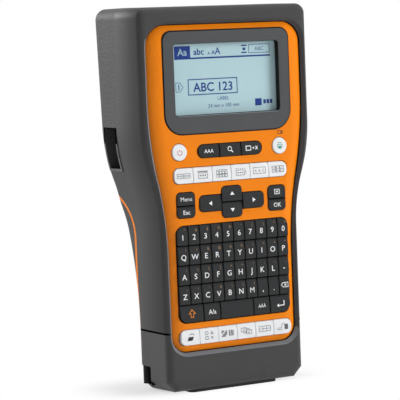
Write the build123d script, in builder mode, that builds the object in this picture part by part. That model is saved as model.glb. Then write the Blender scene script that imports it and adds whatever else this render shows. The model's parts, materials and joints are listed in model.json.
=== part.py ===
from build123d import *
from math import atan, cos, pi, radians, sin, tan
import os

# A hand-held label maker standing on its base: +Z up, the keys face -Y.
# Depths are measured in mm from the plane of the key tops towards the rear.

# Overall size
HEIGHT = 240.0
HEAD_WIDTH = 122.0
GRIP_WIDTH = 100.0
DEPTH = 62.6
GRIP_DEPTH = 39.4

# Casing outline, front view
FOOT_PROUD = 1.0
BASE_CHAMFER = 6.0
HEAD_STRAIGHT = 74.0
SHOULDER_LENGTH = 66.0
TOP_CORNER = 7.0

# Casing section
CASE_FRONT = 1.0
CREASE_TO_BAND = 3.5
SIDE_LEAN = 0.8
FRONT_ROUND = 5.0
REAR_ROUND = 6.0
WALL = 2.4
GRIP_STRAIGHT_TOP = 38.0
HEAD_LENGTH = 122.0
HEAD_TAPER = 6.0
KNEE_ROUND = 30.0
SEAM_Z = 38.5
PART_GAP = 0.2

# Coloured band between the rear case and the rear cover
BAND_INSET = 3.9
BAND_WIDTH = 2.2
BAND_BEND_DROP = 23.0
BAND_BEND_RADIUS = 30.0
BAND_INWARD = 6.0
BAND_BOTTOM = 28.7

# Face plate
PLATE_FRONT = 1.0
PLATE_THICK = 2.0
PLATE_BOTTOM = 26.3
TOP_BORDER = 11.9
GRIP_BORDER = 5.5
HEAD_BORDER = 6.0
PLATE_HEAD_STRAIGHT = 58.0
PLATE_SHOULDER_LENGTH = 98.0
PLATE_CORNER_LOW = 10.0
PLATE_CORNER_HIGH = 13.0
CROWN_ROUND = 14.0
CROWN_BORDER = 5.0
PLATE_GAP = 0.4
LIP_BEVEL = 2.4
LIP_BEVEL_DEPTH = 2.6
LEDGE_DEPTH = 6.5
LEDGE_THICK = 1.8
LEDGE_WIDTH = 3.0

# Screen
BEZEL_FRONT = 0.4
BEZEL_WIDTH = 89.8
BEZEL_HEIGHT = 62.8
BEZEL_MARGIN = 4.0
BEZEL_CORNER_LOW = 12.0
BEZEL_CORNER_HIGH = 6.0
BEZEL_GAP = 0.5
SCREEN_WIDTH = 75.6
SCREEN_HEIGHT = 44.2
SCREEN_MARGIN = 7.5
SCREEN_CORNER = 2.0
WINDOW_DEPTH = 4.4
WINDOW_THICK = 1.0
WINDOW_BORDER = 1.6
LCD_BORDER = 3.0
FIT_GAP = 0.1

# Keys
KEY_LENGTH = 6.2
KEY_TRAVEL = 0.8
KEY_OVERTRAVEL = 0.1
KEY_GAP = 0.6
KEY_CLEARANCE = 0.35
KEY_EDGE_ROUND = 0.4
ROUND_KEY_DIAMETER = 10.4
ROUND_KEY_MARGIN = 3.1
ROUND_KEY_DROP = 5.8
FUNCTION_SPACE = 7.7
FUNCTION_HEIGHT = 8.2
FUNCTION_DROP = 0.3
UPPER_STRIP_MARGIN = 3.5
UPPER_STRIP_DROP = 4.7
LOWER_STRIP_MARGIN = 4.0
LOWER_STRIP_RISE = 4.3
STRIP_HEIGHT = 9.6
STRIP_CORNER = 3.6
SIDE_KEY_MARGIN = 5.2
SIDE_KEY_WIDTH = 12.8
SIDE_KEY_HEIGHT = 15.8
SIDE_KEY_CORNER = 2.6
SIDE_KEY_SPLIT_DROP = 0.5
ARROW_DROP = 3.45
ARROW_SPACE = 3.2
ARROW_SPAN_Z = 19.7
ARROW_COLUMN = 14.6
ARROW_ROW = 10.1
ARROW_CORNER = 3.0
BOARD_KEYS_MARGIN = 4.2
BOARD_KEYS_RISE = 4.2
BOARD_KEYS_DROP = 2.95
BOARD_KEYS_CORNER = 5.0
SPACE_ROW_HEIGHT = 11.3
COLUMNS = 10
LETTER_ROWS = ("bottom_letter_keys", "middle_letter_keys", "top_letter_keys", "number_keys")
STRIP_KEYS = 6
FUNCTION_KEYS = ("left_function_key", "middle_function_key", "right_function_key")
SPACE_ROW = (
    ("shift_key", 2.1),
    ("caps_key", 1.5),
    ("space_key", 3.0),
    ("accent_key", 1.5),
    ("enter_key", 1.9),
)

# Key membrane and main board
MEMBRANE_BORDER = 0.6
BOARD_THICK = 1.6
BOARD_MARGIN = 0.6
CHIP_SIZE = 14.0
CHIP_THICK = 1.5

# Inner frame
FLOOR_TO_BAND = 18.5
FRAME_THICK = 2.0
FRAME_CLEARANCE = 1.2
HEAD_FLOOR = 22.0
FRAME_BOTTOM = 10.0
FRAME_TOP_INSET = 4.5
FRAME_SIDE = 1.8
BAY_BOTTOM = 42.0
BAY_WALL = 2.0
SHELF_INSET = 11.0
SHELF_TO_REAR = 8.6
SHELF_THICK = 2.4

# Battery cells
CELL_RADIUS = 7.1
CELL_LENGTH = 49.3
CELL_PITCH = 14.6
CELL_NUB_RADIUS = 2.7
CELL_NUB_LENGTH = 1.2
CONTACT_WIDTH = 9.0
CONTACT_THICK = 0.5
CONTACT_HEIGHT = 11.0
LEAF_RISE = 4.0

# Tape exit in the left side
EXIT_BELOW_TOP = 74.5
EXIT_HEIGHT = 25.5
EXIT_BEHIND_CREASE = 5.0
EXIT_TO_REAR = 11.6
EXIT_WALL = 1.6
EXIT_INWARD = 9.5
EXIT_RIM_PROUD = 0.5

# Tape cassette
CASSETTE_TO_PLATEN = 8.0
CASSETTE_FLOOR_GAP = 2.0
CASSETTE_TO_REAR = 9.1
CASSETTE_HEIGHT = 36.0
CASSETTE_WALL = 1.5
CASSETTE_CORNER = 4.0
TAPE_WIDTH = 24.0
TAPE_SLIT = 1.6
POST_RADIUS = 2.4
RUNNING_FIT = 0.05
SPOOL_CLEARANCE = 1.0
TAPE_ROLL_CLEARANCE = 0.75
TAPE_ROLL_INSET = 20.0
RIBBON_RADIUS = 7.5
RIBBON_CORE_RADIUS = 4.4
RIBBON_INSET = 22.0
CASSETTE_VIEW_WIDTH = 32.0
CASSETTE_VIEW_HEIGHT = 15.0

# Printing and feeding
PLATEN_TO_BLADE = 8.2
PLATEN_TO_REAR = 13.3
PLATEN_RADIUS = 5.0
PLATEN_LENGTH = 27.5
PLATEN_GAP = 0.3
SHAFT_RADIUS = 1.5
GEAR_MODULE = 0.8
PLATEN_TEETH = 14
PINION_TEETH = 10
GEAR_BACKLASH = 0.25
GEAR_THICK = 5.0
GEAR_LIFT = 1.2
TOOTH_SHARE = 0.40
TOOTH_FLARE = 1.45
GEAR_ADDENDUM = 0.9
GEAR_DEDENDUM = 1.15
MOTOR_ANGLE = -30.0
MOTOR_RADIUS = 11.0
MOTOR_LENGTH = 30.0
MOTOR_BOSS_RADIUS = 3.5
HEAD_BLOCK_WIDTH = 8.0
HEAD_BLOCK_HEIGHT = 29.5
HEAT_SINK_FINS = 5
FIN_SLOT = 1.6
FIN_SLOT_DEPTH = 3.0

# Cutter
BLADE_THICK = 1.0
BLADE_GAP = 0.2
BLADE_INSET = 3.8
FIXED_BLADE_DEPTH = 13.4
FIXED_BLADE_HEIGHT = 34.5
PIVOT_BEHIND_TAPE = 4.0
PIVOT_RISE = 3.4
PIVOT_RADIUS = 1.5
PIVOT_LUG_WALL = 1.0
PIVOT_EYE_RADIUS = 3.0
CUTTER_OPEN = 14.0
CUTTER_EDGE = 4.4
CUTTER_REACH = 28.5
CUTTER_WIDTH = 4.5

# Rear cover, its hinge and its latch
COVER_WALL = 2.2
PANEL_INSET = 4.0
PANEL_TOP_BORDER = 4.6
COVER_BOTTOM = 29.0
COVER_THICK_INSET = 7.0
COVER_EDGE_CHAMFER = 0.8
CAP_REAR_TOP = 28.3
HINGE_INSET = 1.5
HINGE_Z = 30.2
HINGE_SIDE_INSET = 19.0
LUG_WIDTH = 4.8
LUG_NOTCH_WIDTH = 5.6
LUG_NOTCH_HEIGHT = 5.5
LUG_ROOT = 5.0
HINGE_PIN_RADIUS = 0.9
LATCH_WIDTH = 18.0
LATCH_HEIGHT = 9.0
LATCH_TRAVEL = 3.0
LATCH_DROP = 3.4
LATCH_CLEARANCE = 0.25
LATCH_THICK = 1.6
LATCH_FLANGE = 2.0
LATCH_GROOVES = 4
LATCH_GROOVE_WIDTH = 0.8
LATCH_GROOVE_LENGTH = 12.0
LATCH_GROOVE_DEPTH = 1.1

# Base
FOOT_WIDTH = 63.6
FOOT_FRONT = 5.0
FOOT_REAR_INSET = 1.4
FOOT_CORNER = 4.0
FOOT_SEAT = 0.8
NOTCH_TOP = 16.0
NOTCH_BOTTOM = 4.0
NOTCH_DEPTH = 15.4
NOTCH_WIDTH = 9.0
STRAP_POST_RADIUS = 1.8
STRAP_POST_INSET = 4.2

# Screws
SCREW_RADIUS = 1.25
SCREW_HEAD_RADIUS = 2.8
SCREW_HEAD_HEIGHT = 2.0
SCREW_LENGTH = 8.0
BOSS_RADIUS = 3.0
BOSS_BORE_GAP = 0.05
TOP_SCREW_SIDE_INSET = 7.5
TOP_SCREW_DROP = 9.5
BASE_SCREW_SIDE_INSET = 16.0
BASE_SCREW_Z = 18.0

# Casing values that follow from the sizes above
SHOULDER_HIGH = HEIGHT - HEAD_STRAIGHT
SHOULDER_LOW = SHOULDER_HIGH - SHOULDER_LENGTH
KNEE_Z = HEIGHT - HEAD_LENGTH
KNEE_DEPTH = DEPTH - HEAD_TAPER
REAR_SLOPE = atan(HEAD_TAPER / HEAD_LENGTH)
REAR_MOST = DEPTH - REAR_ROUND * (tan(REAR_SLOPE) + 1 / cos(REAR_SLOPE) - 1)
FRONT_Y = -REAR_MOST / 2
BAND_DEPTH = GRIP_DEPTH - BAND_INSET
BAND_REAR = BAND_DEPTH + BAND_WIDTH
BAND_BEND_Z = KNEE_Z - BAND_BEND_DROP
BEND_DEPTH = BAND_DEPTH + BAND_WIDTH / 2 + BAND_BEND_RADIUS
BEND_INNER = BAND_BEND_RADIUS - BAND_WIDTH / 2
CREASE = BAND_DEPTH - CREASE_TO_BAND
PLATE_HALF_LOW = GRIP_WIDTH / 2 - GRIP_BORDER
PLATE_HALF_HIGH = HEAD_WIDTH / 2 - HEAD_BORDER
PLATE_TOP = HEIGHT - TOP_BORDER
PLATE_WAIST_HIGH = HEIGHT - PLATE_HEAD_STRAIGHT
PLATE_WAIST_LOW = PLATE_WAIST_HIGH - PLATE_SHOULDER_LENGTH
LEDGE_REAR = LEDGE_DEPTH + LEDGE_THICK
BOARD_REAR = LEDGE_REAR + BOARD_THICK
TOP_SCREW = (HEAD_WIDTH / 2 - TOP_SCREW_SIDE_INSET, HEIGHT - TOP_SCREW_DROP)
BASE_SCREW = (GRIP_WIDTH / 2 - BASE_SCREW_SIDE_INSET, BASE_SCREW_Z)
FOOT_REAR = GRIP_DEPTH - FOOT_REAR_INSET
NOTCH_FRONT = GRIP_DEPTH - NOTCH_DEPTH

# Screen and key places: the screen hangs from the top, the character keys fill what is left
BEZEL_TOP = PLATE_TOP - BEZEL_MARGIN
BEZEL_BOTTOM = BEZEL_TOP - BEZEL_HEIGHT
SCREEN_TOP = BEZEL_TOP - SCREEN_MARGIN
SCREEN_BOTTOM = SCREEN_TOP - SCREEN_HEIGHT
ROUND_KEY_X = PLATE_HALF_LOW - ROUND_KEY_MARGIN - ROUND_KEY_DIAMETER / 2
ROUND_KEY_Z = BEZEL_BOTTOM - ROUND_KEY_DROP - ROUND_KEY_DIAMETER / 2
FUNCTION_WIDTH = 2 * (ROUND_KEY_X - ROUND_KEY_DIAMETER / 2 - FUNCTION_SPACE)
FUNCTION_Z = ROUND_KEY_Z - FUNCTION_DROP
UPPER_STRIP_WIDTH = 2 * (PLATE_HALF_LOW - UPPER_STRIP_MARGIN)
UPPER_STRIP_Z = ROUND_KEY_Z - ROUND_KEY_DIAMETER / 2 - UPPER_STRIP_DROP - STRIP_HEIGHT / 2
LOWER_STRIP_WIDTH = 2 * (PLATE_HALF_LOW - LOWER_STRIP_MARGIN)
LOWER_STRIP_Z = PLATE_BOTTOM + LOWER_STRIP_RISE + STRIP_HEIGHT / 2
ARROW_Z = UPPER_STRIP_Z - STRIP_HEIGHT / 2 - ARROW_DROP - ARROW_SPAN_Z / 2
SIDE_KEY_X = PLATE_HALF_LOW - SIDE_KEY_MARGIN - SIDE_KEY_WIDTH / 2
SIDE_KEY_SPLIT = ARROW_Z - SIDE_KEY_SPLIT_DROP
ARROW_SPAN_X = 2 * (SIDE_KEY_X - SIDE_KEY_WIDTH / 2 - ARROW_SPACE)
BOARD_KEYS_WIDTH = 2 * (PLATE_HALF_LOW - BOARD_KEYS_MARGIN)
BOARD_KEYS_BOTTOM = LOWER_STRIP_Z + STRIP_HEIGHT / 2 + BOARD_KEYS_RISE
BOARD_KEYS_TOP = ARROW_Z - ARROW_SPAN_Z / 2 - BOARD_KEYS_DROP
MEMBRANE_FRONT = KEY_LENGTH + KEY_TRAVEL + KEY_OVERTRAVEL

# Mechanism places: shelves follow the head, the tape path follows the rear
FRAME_FLOOR = BAND_DEPTH - FLOOR_TO_BAND
FRAME_TOP = HEIGHT - FRAME_TOP_INSET
SHELF_HALF = HEAD_WIDTH / 2 - SHELF_INSET
PANEL_HALF = GRIP_WIDTH / 2 - PANEL_INSET
SHELF_REACH = DEPTH - SHELF_TO_REAR
EXIT_TOP = HEIGHT - EXIT_BELOW_TOP
EXIT_BOTTOM = EXIT_TOP - EXIT_HEIGHT
EXIT_Z = (EXIT_BOTTOM + EXIT_TOP) / 2
EXIT_FRONT = CREASE + EXIT_BEHIND_CREASE
EXIT_REAR = DEPTH - EXIT_TO_REAR
EXIT_INNER_X = HEAD_WIDTH / 2 - EXIT_INWARD
PLATEN_DEPTH = DEPTH - PLATEN_TO_REAR
TAPE_PATH_DEPTH = PLATEN_DEPTH - PLATEN_RADIUS - PLATEN_GAP
FIXED_BLADE_X = BLADE_INSET - SHELF_HALF
FIXED_BLADE_REAR = TAPE_PATH_DEPTH - 2 * PLATEN_GAP
PLATEN_X = FIXED_BLADE_X + PLATEN_TO_BLADE
PIVOT_DEPTH = TAPE_PATH_DEPTH + PIVOT_BEHIND_TAPE
CASSETTE_LEFT = PLATEN_X + CASSETTE_TO_PLATEN
CASSETTE_RIGHT = PANEL_HALF
CASSETTE_FRONT = HEAD_FLOOR + FRAME_THICK + CASSETTE_FLOOR_GAP
CASSETTE_REAR = DEPTH - CASSETTE_TO_REAR
CASSETTE_BOTTOM = EXIT_Z - CASSETTE_HEIGHT / 2
CASSETTE_TOP = CASSETTE_BOTTOM + CASSETTE_HEIGHT
SPOOL_DEPTH = (CASSETTE_FRONT + CASSETTE_REAR) / 2
TAPE_ROLL_RADIUS = (CASSETTE_REAR - CASSETTE_FRONT) / 2 - CASSETTE_WALL - TAPE_ROLL_CLEARANCE
TAPE_ROLL_X = CASSETTE_RIGHT - TAPE_ROLL_INSET
RIBBON_X = CASSETTE_LEFT + RIBBON_INSET
LOWER_SHELF_TOP = CASSETTE_BOTTOM - FIT_GAP
GEAR_BOTTOM = CASSETTE_TOP + GEAR_LIFT
GEAR_TOP = GEAR_BOTTOM + GEAR_THICK
UPPER_SHELF = GEAR_TOP + GEAR_LIFT
UPPER_SHELF_TOP = UPPER_SHELF + SHELF_THICK
GEAR_SPACING = GEAR_MODULE * (PLATEN_TEETH + PINION_TEETH) / 2 + GEAR_BACKLASH
MOTOR_X = PLATEN_X + GEAR_SPACING * cos(radians(MOTOR_ANGLE))
MOTOR_DEPTH = PLATEN_DEPTH + GEAR_SPACING * sin(radians(MOTOR_ANGLE))
PIVOT_Z = LOWER_SHELF_TOP + PIVOT_RISE
CUTTER_X = FIXED_BLADE_X - BLADE_THICK - BLADE_GAP
FRAME_INSET = WALL + FRAME_CLEARANCE
BAY_HALF = GRIP_WIDTH / 2 - FRAME_INSET - FRAME_SIDE
CELL_COUNT = int(2 * BAY_HALF / CELL_PITCH)
CELL_DEPTH = FRAME_FLOOR + FRAME_THICK + FIT_GAP + CELL_RADIUS
CELL_BOTTOM = BAY_BOTTOM + CONTACT_THICK + LEAF_RISE + FIT_GAP
BAY_TOP = CELL_BOTTOM + CELL_LENGTH + CELL_NUB_LENGTH + FIT_GAP + CONTACT_THICK

# Rear cover places
PANEL_TOP = HEIGHT - PANEL_TOP_BORDER
LATCH_TOP = PANEL_TOP - LATCH_DROP
COVER_THICK_HALF = GRIP_WIDTH / 2 - COVER_THICK_INSET
HINGE_X = GRIP_WIDTH / 2 - HINGE_SIDE_INSET
HINGE_DEPTH = GRIP_DEPTH - HINGE_INSET
COVER_SWING_HALF = GRIP_WIDTH / 2 - BAND_INWARD - PART_GAP

# How a cylinder stands on its place
ON_END = (Align.CENTER, Align.CENTER, Align.MIN)
TO_FRONT = (90, 0, 0)
TO_REAR = (-90, 0, 0)

os.makedirs("parts", exist_ok=True)


def y_at(depth):
    """Frame y of a depth behind the key tops."""
    return FRONT_Y + depth


def face_at(depth):
    """Plane parallel to the front, looking out of it, at a depth."""
    return Plane.XZ.offset(-y_at(depth))


def level(z):
    """Horizontal plane whose second axis runs along depth."""
    return Plane.XY.offset(z)


def block(x, depth, z, mode=Mode.ADD):
    """Box between pairs of x, depth and z limits, in the current part."""
    middle = (sum(x) / 2, y_at(sum(depth) / 2), sum(z) / 2)
    with Locations(middle):
        return Box(x[1] - x[0], depth[1] - depth[0], z[1] - z[0], mode=mode)


def slab(shape, near, far, mode=Mode.ADD, taper=0.0):
    """Front-view shape carried from one depth back to another, in the current part."""
    return extrude(face_at(near) * shape, amount=near - far, taper=taper, mode=mode)


def upright(x, depth, radius, bottom, top, mode=Mode.ADD):
    """Cylinder standing along Z between two heights, in the current part."""
    with Locations((x, y_at(depth), bottom)):
        return Cylinder(radius, top - bottom, align=ON_END, mode=mode)


def rounded(width, bottom, top, corner, x=0.0):
    """Front-view rounded rectangle."""
    with BuildSketch() as shape:
        with Locations((x, (bottom + top) / 2)):
            RectangleRounded(width, top - bottom, corner)
    return shape.sketch


def write(part, name):
    """Name a finished piece and save it."""
    part.label = name
    export_step(part, f"parts/{name}.step")


def shouldered(low_half, high_half, bottom, top, waist_low, waist_high, chamfer=0.0):
    """Right half of a front view: narrow below, wide above, joined by an S-curve."""
    middle = ((low_half + high_half) / 2, (waist_low + waist_high) / 2)
    with BuildLine() as half:
        base = Line((0, bottom), (low_half - chamfer, bottom))
        if chamfer:
            base = Line(base @ 1, (low_half, bottom + chamfer))
        side = Line(base @ 1, (low_half, waist_low))
        lower = TangentArc([side @ 1, middle], tangent=side % 1)
        upper = TangentArc([lower @ 1, (high_half, waist_high)], tangent=lower % 1)
        wall = Line(upper @ 1, (high_half, top))
        Line(wall @ 1, (0, top))
    return half.line


def screw_boss(place, near, far):
    """Pair of bosses, bored from behind for a screw, in the current part."""
    with Locations((-place[0], y_at(far), place[1]), (place[0], y_at(far), place[1])):
        Cylinder(BOSS_RADIUS, far - near, rotation=TO_FRONT, align=ON_END)
        bore = SCREW_RADIUS + BOSS_BORE_GAP
        Cylinder(bore, SCREW_LENGTH, rotation=TO_FRONT, align=ON_END, mode=Mode.SUBTRACT)


def casing_outline(inset=0.0):
    """Front view of the casing: straight grip, S-curved shoulders, wide head."""
    half = shouldered(
        GRIP_WIDTH / 2 - inset,
        HEAD_WIDTH / 2 - inset,
        FOOT_PROUD + inset,
        HEIGHT - inset,
        SHOULDER_LOW,
        SHOULDER_HIGH,
        BASE_CHAMFER,
    )
    with BuildSketch() as outline:
        with BuildLine():
            add(half)
            mirror(half, about=Plane.YZ)
        make_face()
        top = outline.vertices().group_by(Axis.Y)[-1].sort_by(Axis.X)
        fillet([top[0], top[-1]], radius=TOP_CORNER - inset)
    return outline.sketch


def plate_outline(grow=0.0):
    """Front view of the face plate, which follows the casing's shoulders."""
    half = shouldered(
        PLATE_HALF_LOW + grow,
        PLATE_HALF_HIGH + grow,
        PLATE_BOTTOM - grow,
        PLATE_TOP + grow,
        PLATE_WAIST_LOW,
        PLATE_WAIST_HIGH,
    )
    with BuildSketch() as outline:
        with BuildLine():
            add(half)
            mirror(half, about=Plane.YZ)
        make_face()
        rows = outline.vertices().group_by(Axis.Y)
        bottom = rows[0].sort_by(Axis.X)
        top = rows[-1].sort_by(Axis.X)
        fillet([bottom[0], bottom[-1]], radius=PLATE_CORNER_LOW + grow)
        top = outline.vertices().group_by(Axis.Y)[-1].sort_by(Axis.X)
        fillet([top[0], top[-1]], radius=PLATE_CORNER_HIGH + grow)
    return outline.sketch


def front_form(inset=0.0):
    """Casing in front of the crease: leaning sides and a rounded front edge."""
    with BuildPart() as form:
        with BuildSketch(face_at(CREASE)):
            add(casing_outline(inset))
        with BuildSketch(face_at(CASE_FRONT + inset)):
            add(casing_outline(inset + SIDE_LEAN))
        loft(ruled=True)
        fillet(form.faces().sort_by(Axis.Y)[0].edges(), radius=FRONT_ROUND - inset)
    return form.part


def rear_profile(inset=0.0):
    """Side view of the rear: upright grip, slope up to the knee, deep head."""
    with BuildSketch(Plane.YZ) as profile:
        with BuildLine():
            base = Line((y_at(0), 0), (y_at(GRIP_DEPTH - inset), 0))
            grip = Line(base @ 1, (y_at(GRIP_DEPTH - inset), GRIP_STRAIGHT_TOP))
            slope = TangentArc([grip @ 1, (y_at(KNEE_DEPTH - inset), KNEE_Z)], tangent=grip % 1)
            head = Line(slope @ 1, (y_at(DEPTH - inset), HEIGHT))
            top = Line(head @ 1, (y_at(0), HEIGHT))
            Line(top @ 1, base @ 0)
        make_face()
        knee = profile.vertices().sort_by_distance((y_at(KNEE_DEPTH - inset), KNEE_Z, 0))[0]
        fillet(knee, radius=KNEE_ROUND)
    return profile.sketch


def rear_form(inset=0.0):
    """Casing behind the crease, with its rear edges rounded."""
    with BuildPart() as form:
        slab(casing_outline(inset), CREASE, DEPTH)
        extrude(rear_profile(inset), amount=HEAD_WIDTH, both=True, mode=Mode.INTERSECT)
        if inset < REAR_ROUND:
            rear_edges = form.faces().filter_by(lambda face: face.normal_at().Y > 0.5).edges()
            top_edge = rear_edges.filter_by(Axis.X).sort_by(Axis.Z)[-1]
            fillet(rear_edges.filter_by(Axis.X, reverse=True) + [top_edge], radius=REAR_ROUND - inset)
    return form.part


def behind_band(gap):
    """Everything behind the coloured band, seen from the side, less a gap."""
    with BuildPart() as form:
        with BuildSketch(Plane.YZ):
            with BuildLine():
                Polyline(
                    (y_at(BAND_REAR + gap), 0),
                    (y_at(DEPTH), 0),
                    (y_at(DEPTH), BAND_BEND_Z),
                    (y_at(BAND_REAR + gap), BAND_BEND_Z),
                    close=True,
                )
            make_face()
            with Locations((y_at(BEND_DEPTH), BAND_BEND_Z)):
                Circle(BEND_INNER - gap)
        extrude(amount=HEAD_WIDTH, both=True)
    return form.part


def crown_form(depth):
    """Block with a broadly rounded front edge; the face plate is a skin of it."""
    with BuildPart() as form:
        slab(plate_outline(CROWN_BORDER), depth, depth + CROWN_ROUND + PLATE_THICK)
        fillet(form.faces().sort_by(Axis.Y)[0].edges(), radius=CROWN_ROUND)
    return form.part


def bezel_outline(grow=0.0):
    """Front view of the screen bezel: tight corners above, wide ones below."""
    with BuildSketch() as outline:
        with Locations((0, (BEZEL_BOTTOM + BEZEL_TOP) / 2)):
            Rectangle(BEZEL_WIDTH + 2 * grow, BEZEL_TOP - BEZEL_BOTTOM + 2 * grow)
        fillet(outline.vertices().group_by(Axis.Y)[0], radius=BEZEL_CORNER_LOW + grow)
        fillet(outline.vertices().group_by(Axis.Y)[-1], radius=BEZEL_CORNER_HIGH + grow)
    return outline.sketch


def screen_outline(grow):
    """Front view of the screen opening, or of a step around it."""
    return rounded(SCREEN_WIDTH + 2 * grow, SCREEN_BOTTOM - grow, SCREEN_TOP + grow, SCREEN_CORNER)


def strip_outline(width, z, grow=0.0):
    """Front view of a strip of quick keys."""
    half = STRIP_HEIGHT / 2 + grow
    return rounded(width + 2 * grow, z - half, z + half, STRIP_CORNER + grow)


def function_outline(grow=0.0):
    """Front view of the function strip, with round ends."""
    half = FUNCTION_HEIGHT / 2 + grow
    with BuildSketch() as outline:
        with Locations((0, FUNCTION_Z)):
            SlotOverall(FUNCTION_WIDTH + 2 * grow, 2 * half)
    return outline.sketch


def side_key_outline(side, grow=0.0):
    """Front view of the two-key column on one side of the arrows."""
    half = SIDE_KEY_HEIGHT / 2 + grow
    width = SIDE_KEY_WIDTH + 2 * grow
    return rounded(width, ARROW_Z - half, ARROW_Z + half, SIDE_KEY_CORNER + grow, side * SIDE_KEY_X)


def arrow_outline(grow=0.0):
    """Front view of the arrow cross."""
    with BuildSketch() as outline:
        with Locations((0, ARROW_Z)):
            RectangleRounded(ARROW_COLUMN + 2 * grow, ARROW_SPAN_Z + 2 * grow, ARROW_CORNER + grow)
            RectangleRounded(ARROW_SPAN_X + 2 * grow, ARROW_ROW + 2 * grow, ARROW_CORNER + grow)
    return outline.sketch


def keyboard_outline(grow=0.0):
    """Front view of the block of character keys."""
    bottom = BOARD_KEYS_BOTTOM - grow
    top = BOARD_KEYS_TOP + grow
    return rounded(BOARD_KEYS_WIDTH + 2 * grow, bottom, top, BOARD_KEYS_CORNER + grow)


def round_key_outline(side, grow=0.0):
    """Front view of the power key or the print key."""
    with BuildSketch() as outline:
        with Locations((side * ROUND_KEY_X, ROUND_KEY_Z)):
            Circle(ROUND_KEY_DIAMETER / 2 + grow)
    return outline.sketch


def key_outlines(grow=0.0):
    """Every outline that keys fill in the face plate."""
    return [
        keyboard_outline(grow),
        strip_outline(UPPER_STRIP_WIDTH, UPPER_STRIP_Z, grow),
        strip_outline(LOWER_STRIP_WIDTH, LOWER_STRIP_Z, grow),
        function_outline(grow),
        arrow_outline(grow),
        side_key_outline(-1, grow),
        side_key_outline(1, grow),
        round_key_outline(-1, grow),
        round_key_outline(1, grow),
    ]


def key_cell(outline, left, right, bottom, top):
    """The part of an outline inside one key's cell, less half a gap on each side."""
    with BuildSketch() as cell:
        add(outline)
        with Locations(((left + right) / 2, (bottom + top) / 2)):
            Rectangle(right - left - KEY_GAP, top - bottom - KEY_GAP, mode=Mode.INTERSECT)
    return cell.sketch


def key_solid(shapes, name):
    """One key, or one row of like keys, from its tops to its feet."""
    with BuildPart() as key:
        for shape in shapes:
            slab(shape, 0, KEY_LENGTH)
        fillet(key.faces().group_by(Axis.Y)[0].edges(), radius=KEY_EDGE_ROUND)
    write(key.part, name)


def gear_outline(teeth, turn):
    """Spur gear with straight-sided teeth, turned by an angle in degrees."""
    pitch_radius = GEAR_MODULE * teeth / 2
    root = pitch_radius - GEAR_DEDENDUM * GEAR_MODULE
    tip = pitch_radius + GEAR_ADDENDUM * GEAR_MODULE
    half_pitch_tooth = TOOTH_SHARE * GEAR_MODULE * pi / 2
    half_root = half_pitch_tooth * TOOTH_FLARE
    half_tip = half_pitch_tooth / TOOTH_FLARE
    with BuildSketch() as tooth:
        with BuildLine():
            Polyline(
                (0, -half_root),
                (root, -half_root),
                (tip, -half_tip),
                (tip, half_tip),
                (root, half_root),
                (0, half_root),
                close=True,
            )
        make_face()
    with BuildSketch() as outline:
        Circle(root)
        with PolarLocations(0, teeth, start_angle=turn):
            add(tooth.sketch)
    return outline.sketch


front_outer = front_form()
front_inner = front_form(WALL)
rear_outer = rear_form()
rear_inner = rear_form(WALL)
cover_inner = rear_form(COVER_WALL)
cover_side = behind_band(PART_GAP)
cover_clear = behind_band(0.0)
band_clear = behind_band(-BAND_WIDTH)
case_clear = behind_band(-BAND_WIDTH - FIT_GAP)

# Ledge that carries the face plate, inside the front of the casing
with BuildSketch() as ledge_shape:
    add(casing_outline(WALL - FIT_GAP))
    add(plate_outline(-LEDGE_WIDTH), mode=Mode.SUBTRACT)

# Bevel that leads from the front of the casing down to the face plate
with BuildPart() as lip_bevel:
    with BuildSketch(face_at(CASE_FRONT)):
        add(plate_outline(PLATE_GAP + LIP_BEVEL))
    with BuildSketch(face_at(CASE_FRONT + LIP_BEVEL_DEPTH)):
        add(plate_outline(PLATE_GAP))
    loft(ruled=True)

# Front case: the shell in front of the crease, above the bottom cap
with BuildPart() as front_case:
    add(front_outer)
    add(front_inner, mode=Mode.SUBTRACT)
    slab(plate_outline(PLATE_GAP), 0, LEDGE_DEPTH, mode=Mode.SUBTRACT)
    add(lip_bevel.part, mode=Mode.SUBTRACT)
    slab(ledge_shape.sketch, LEDGE_DEPTH, LEDGE_REAR)
    screw_boss(TOP_SCREW, LEDGE_DEPTH, HEAD_FLOOR)
    block((-HEAD_WIDTH, HEAD_WIDTH), (0, DEPTH), (0, SEAM_Z + PART_GAP), mode=Mode.SUBTRACT)
write(front_case.part, "front_case")

# Rear case: the shell behind the crease, open at the back for the cover
with BuildPart() as exit_frame:
    slab(casing_outline(-EXIT_RIM_PROUD), EXIT_FRONT - EXIT_WALL, EXIT_REAR + EXIT_WALL)
    block(
        (-HEAD_WIDTH / 2, -EXIT_INNER_X),
        (0, DEPTH),
        (EXIT_BOTTOM - EXIT_WALL, EXIT_TOP + EXIT_WALL),
        mode=Mode.INTERSECT,
    )

with BuildPart() as rear_case:
    add(rear_outer)
    add(rear_inner, mode=Mode.SUBTRACT)
    add(case_clear, mode=Mode.SUBTRACT)
    opening = PANEL_HALF + PART_GAP
    block((-opening, opening), (BAND_DEPTH, DEPTH), (0, PANEL_TOP + PART_GAP), mode=Mode.SUBTRACT)
    block((-HEAD_WIDTH, HEAD_WIDTH), (0, DEPTH), (0, SEAM_Z + PART_GAP), mode=Mode.SUBTRACT)
    add(exit_frame.part)
    block(
        (-HEAD_WIDTH, 0),
        (EXIT_FRONT, EXIT_REAR),
        (EXIT_BOTTOM, EXIT_TOP),
        mode=Mode.SUBTRACT,
    )
write(rear_case.part, "rear_case")

# Walls around the strap notch in the left rear corner of the base
notch_x = -GRIP_WIDTH / 2 + NOTCH_WIDTH
with BuildPart() as notch_walls:
    add(front_outer)
    add(rear_outer)
    block(
        (-GRIP_WIDTH / 2, notch_x + WALL),
        (NOTCH_FRONT - WALL, GRIP_DEPTH),
        (FOOT_PROUD, NOTCH_TOP + WALL),
        mode=Mode.INTERSECT,
    )

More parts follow.
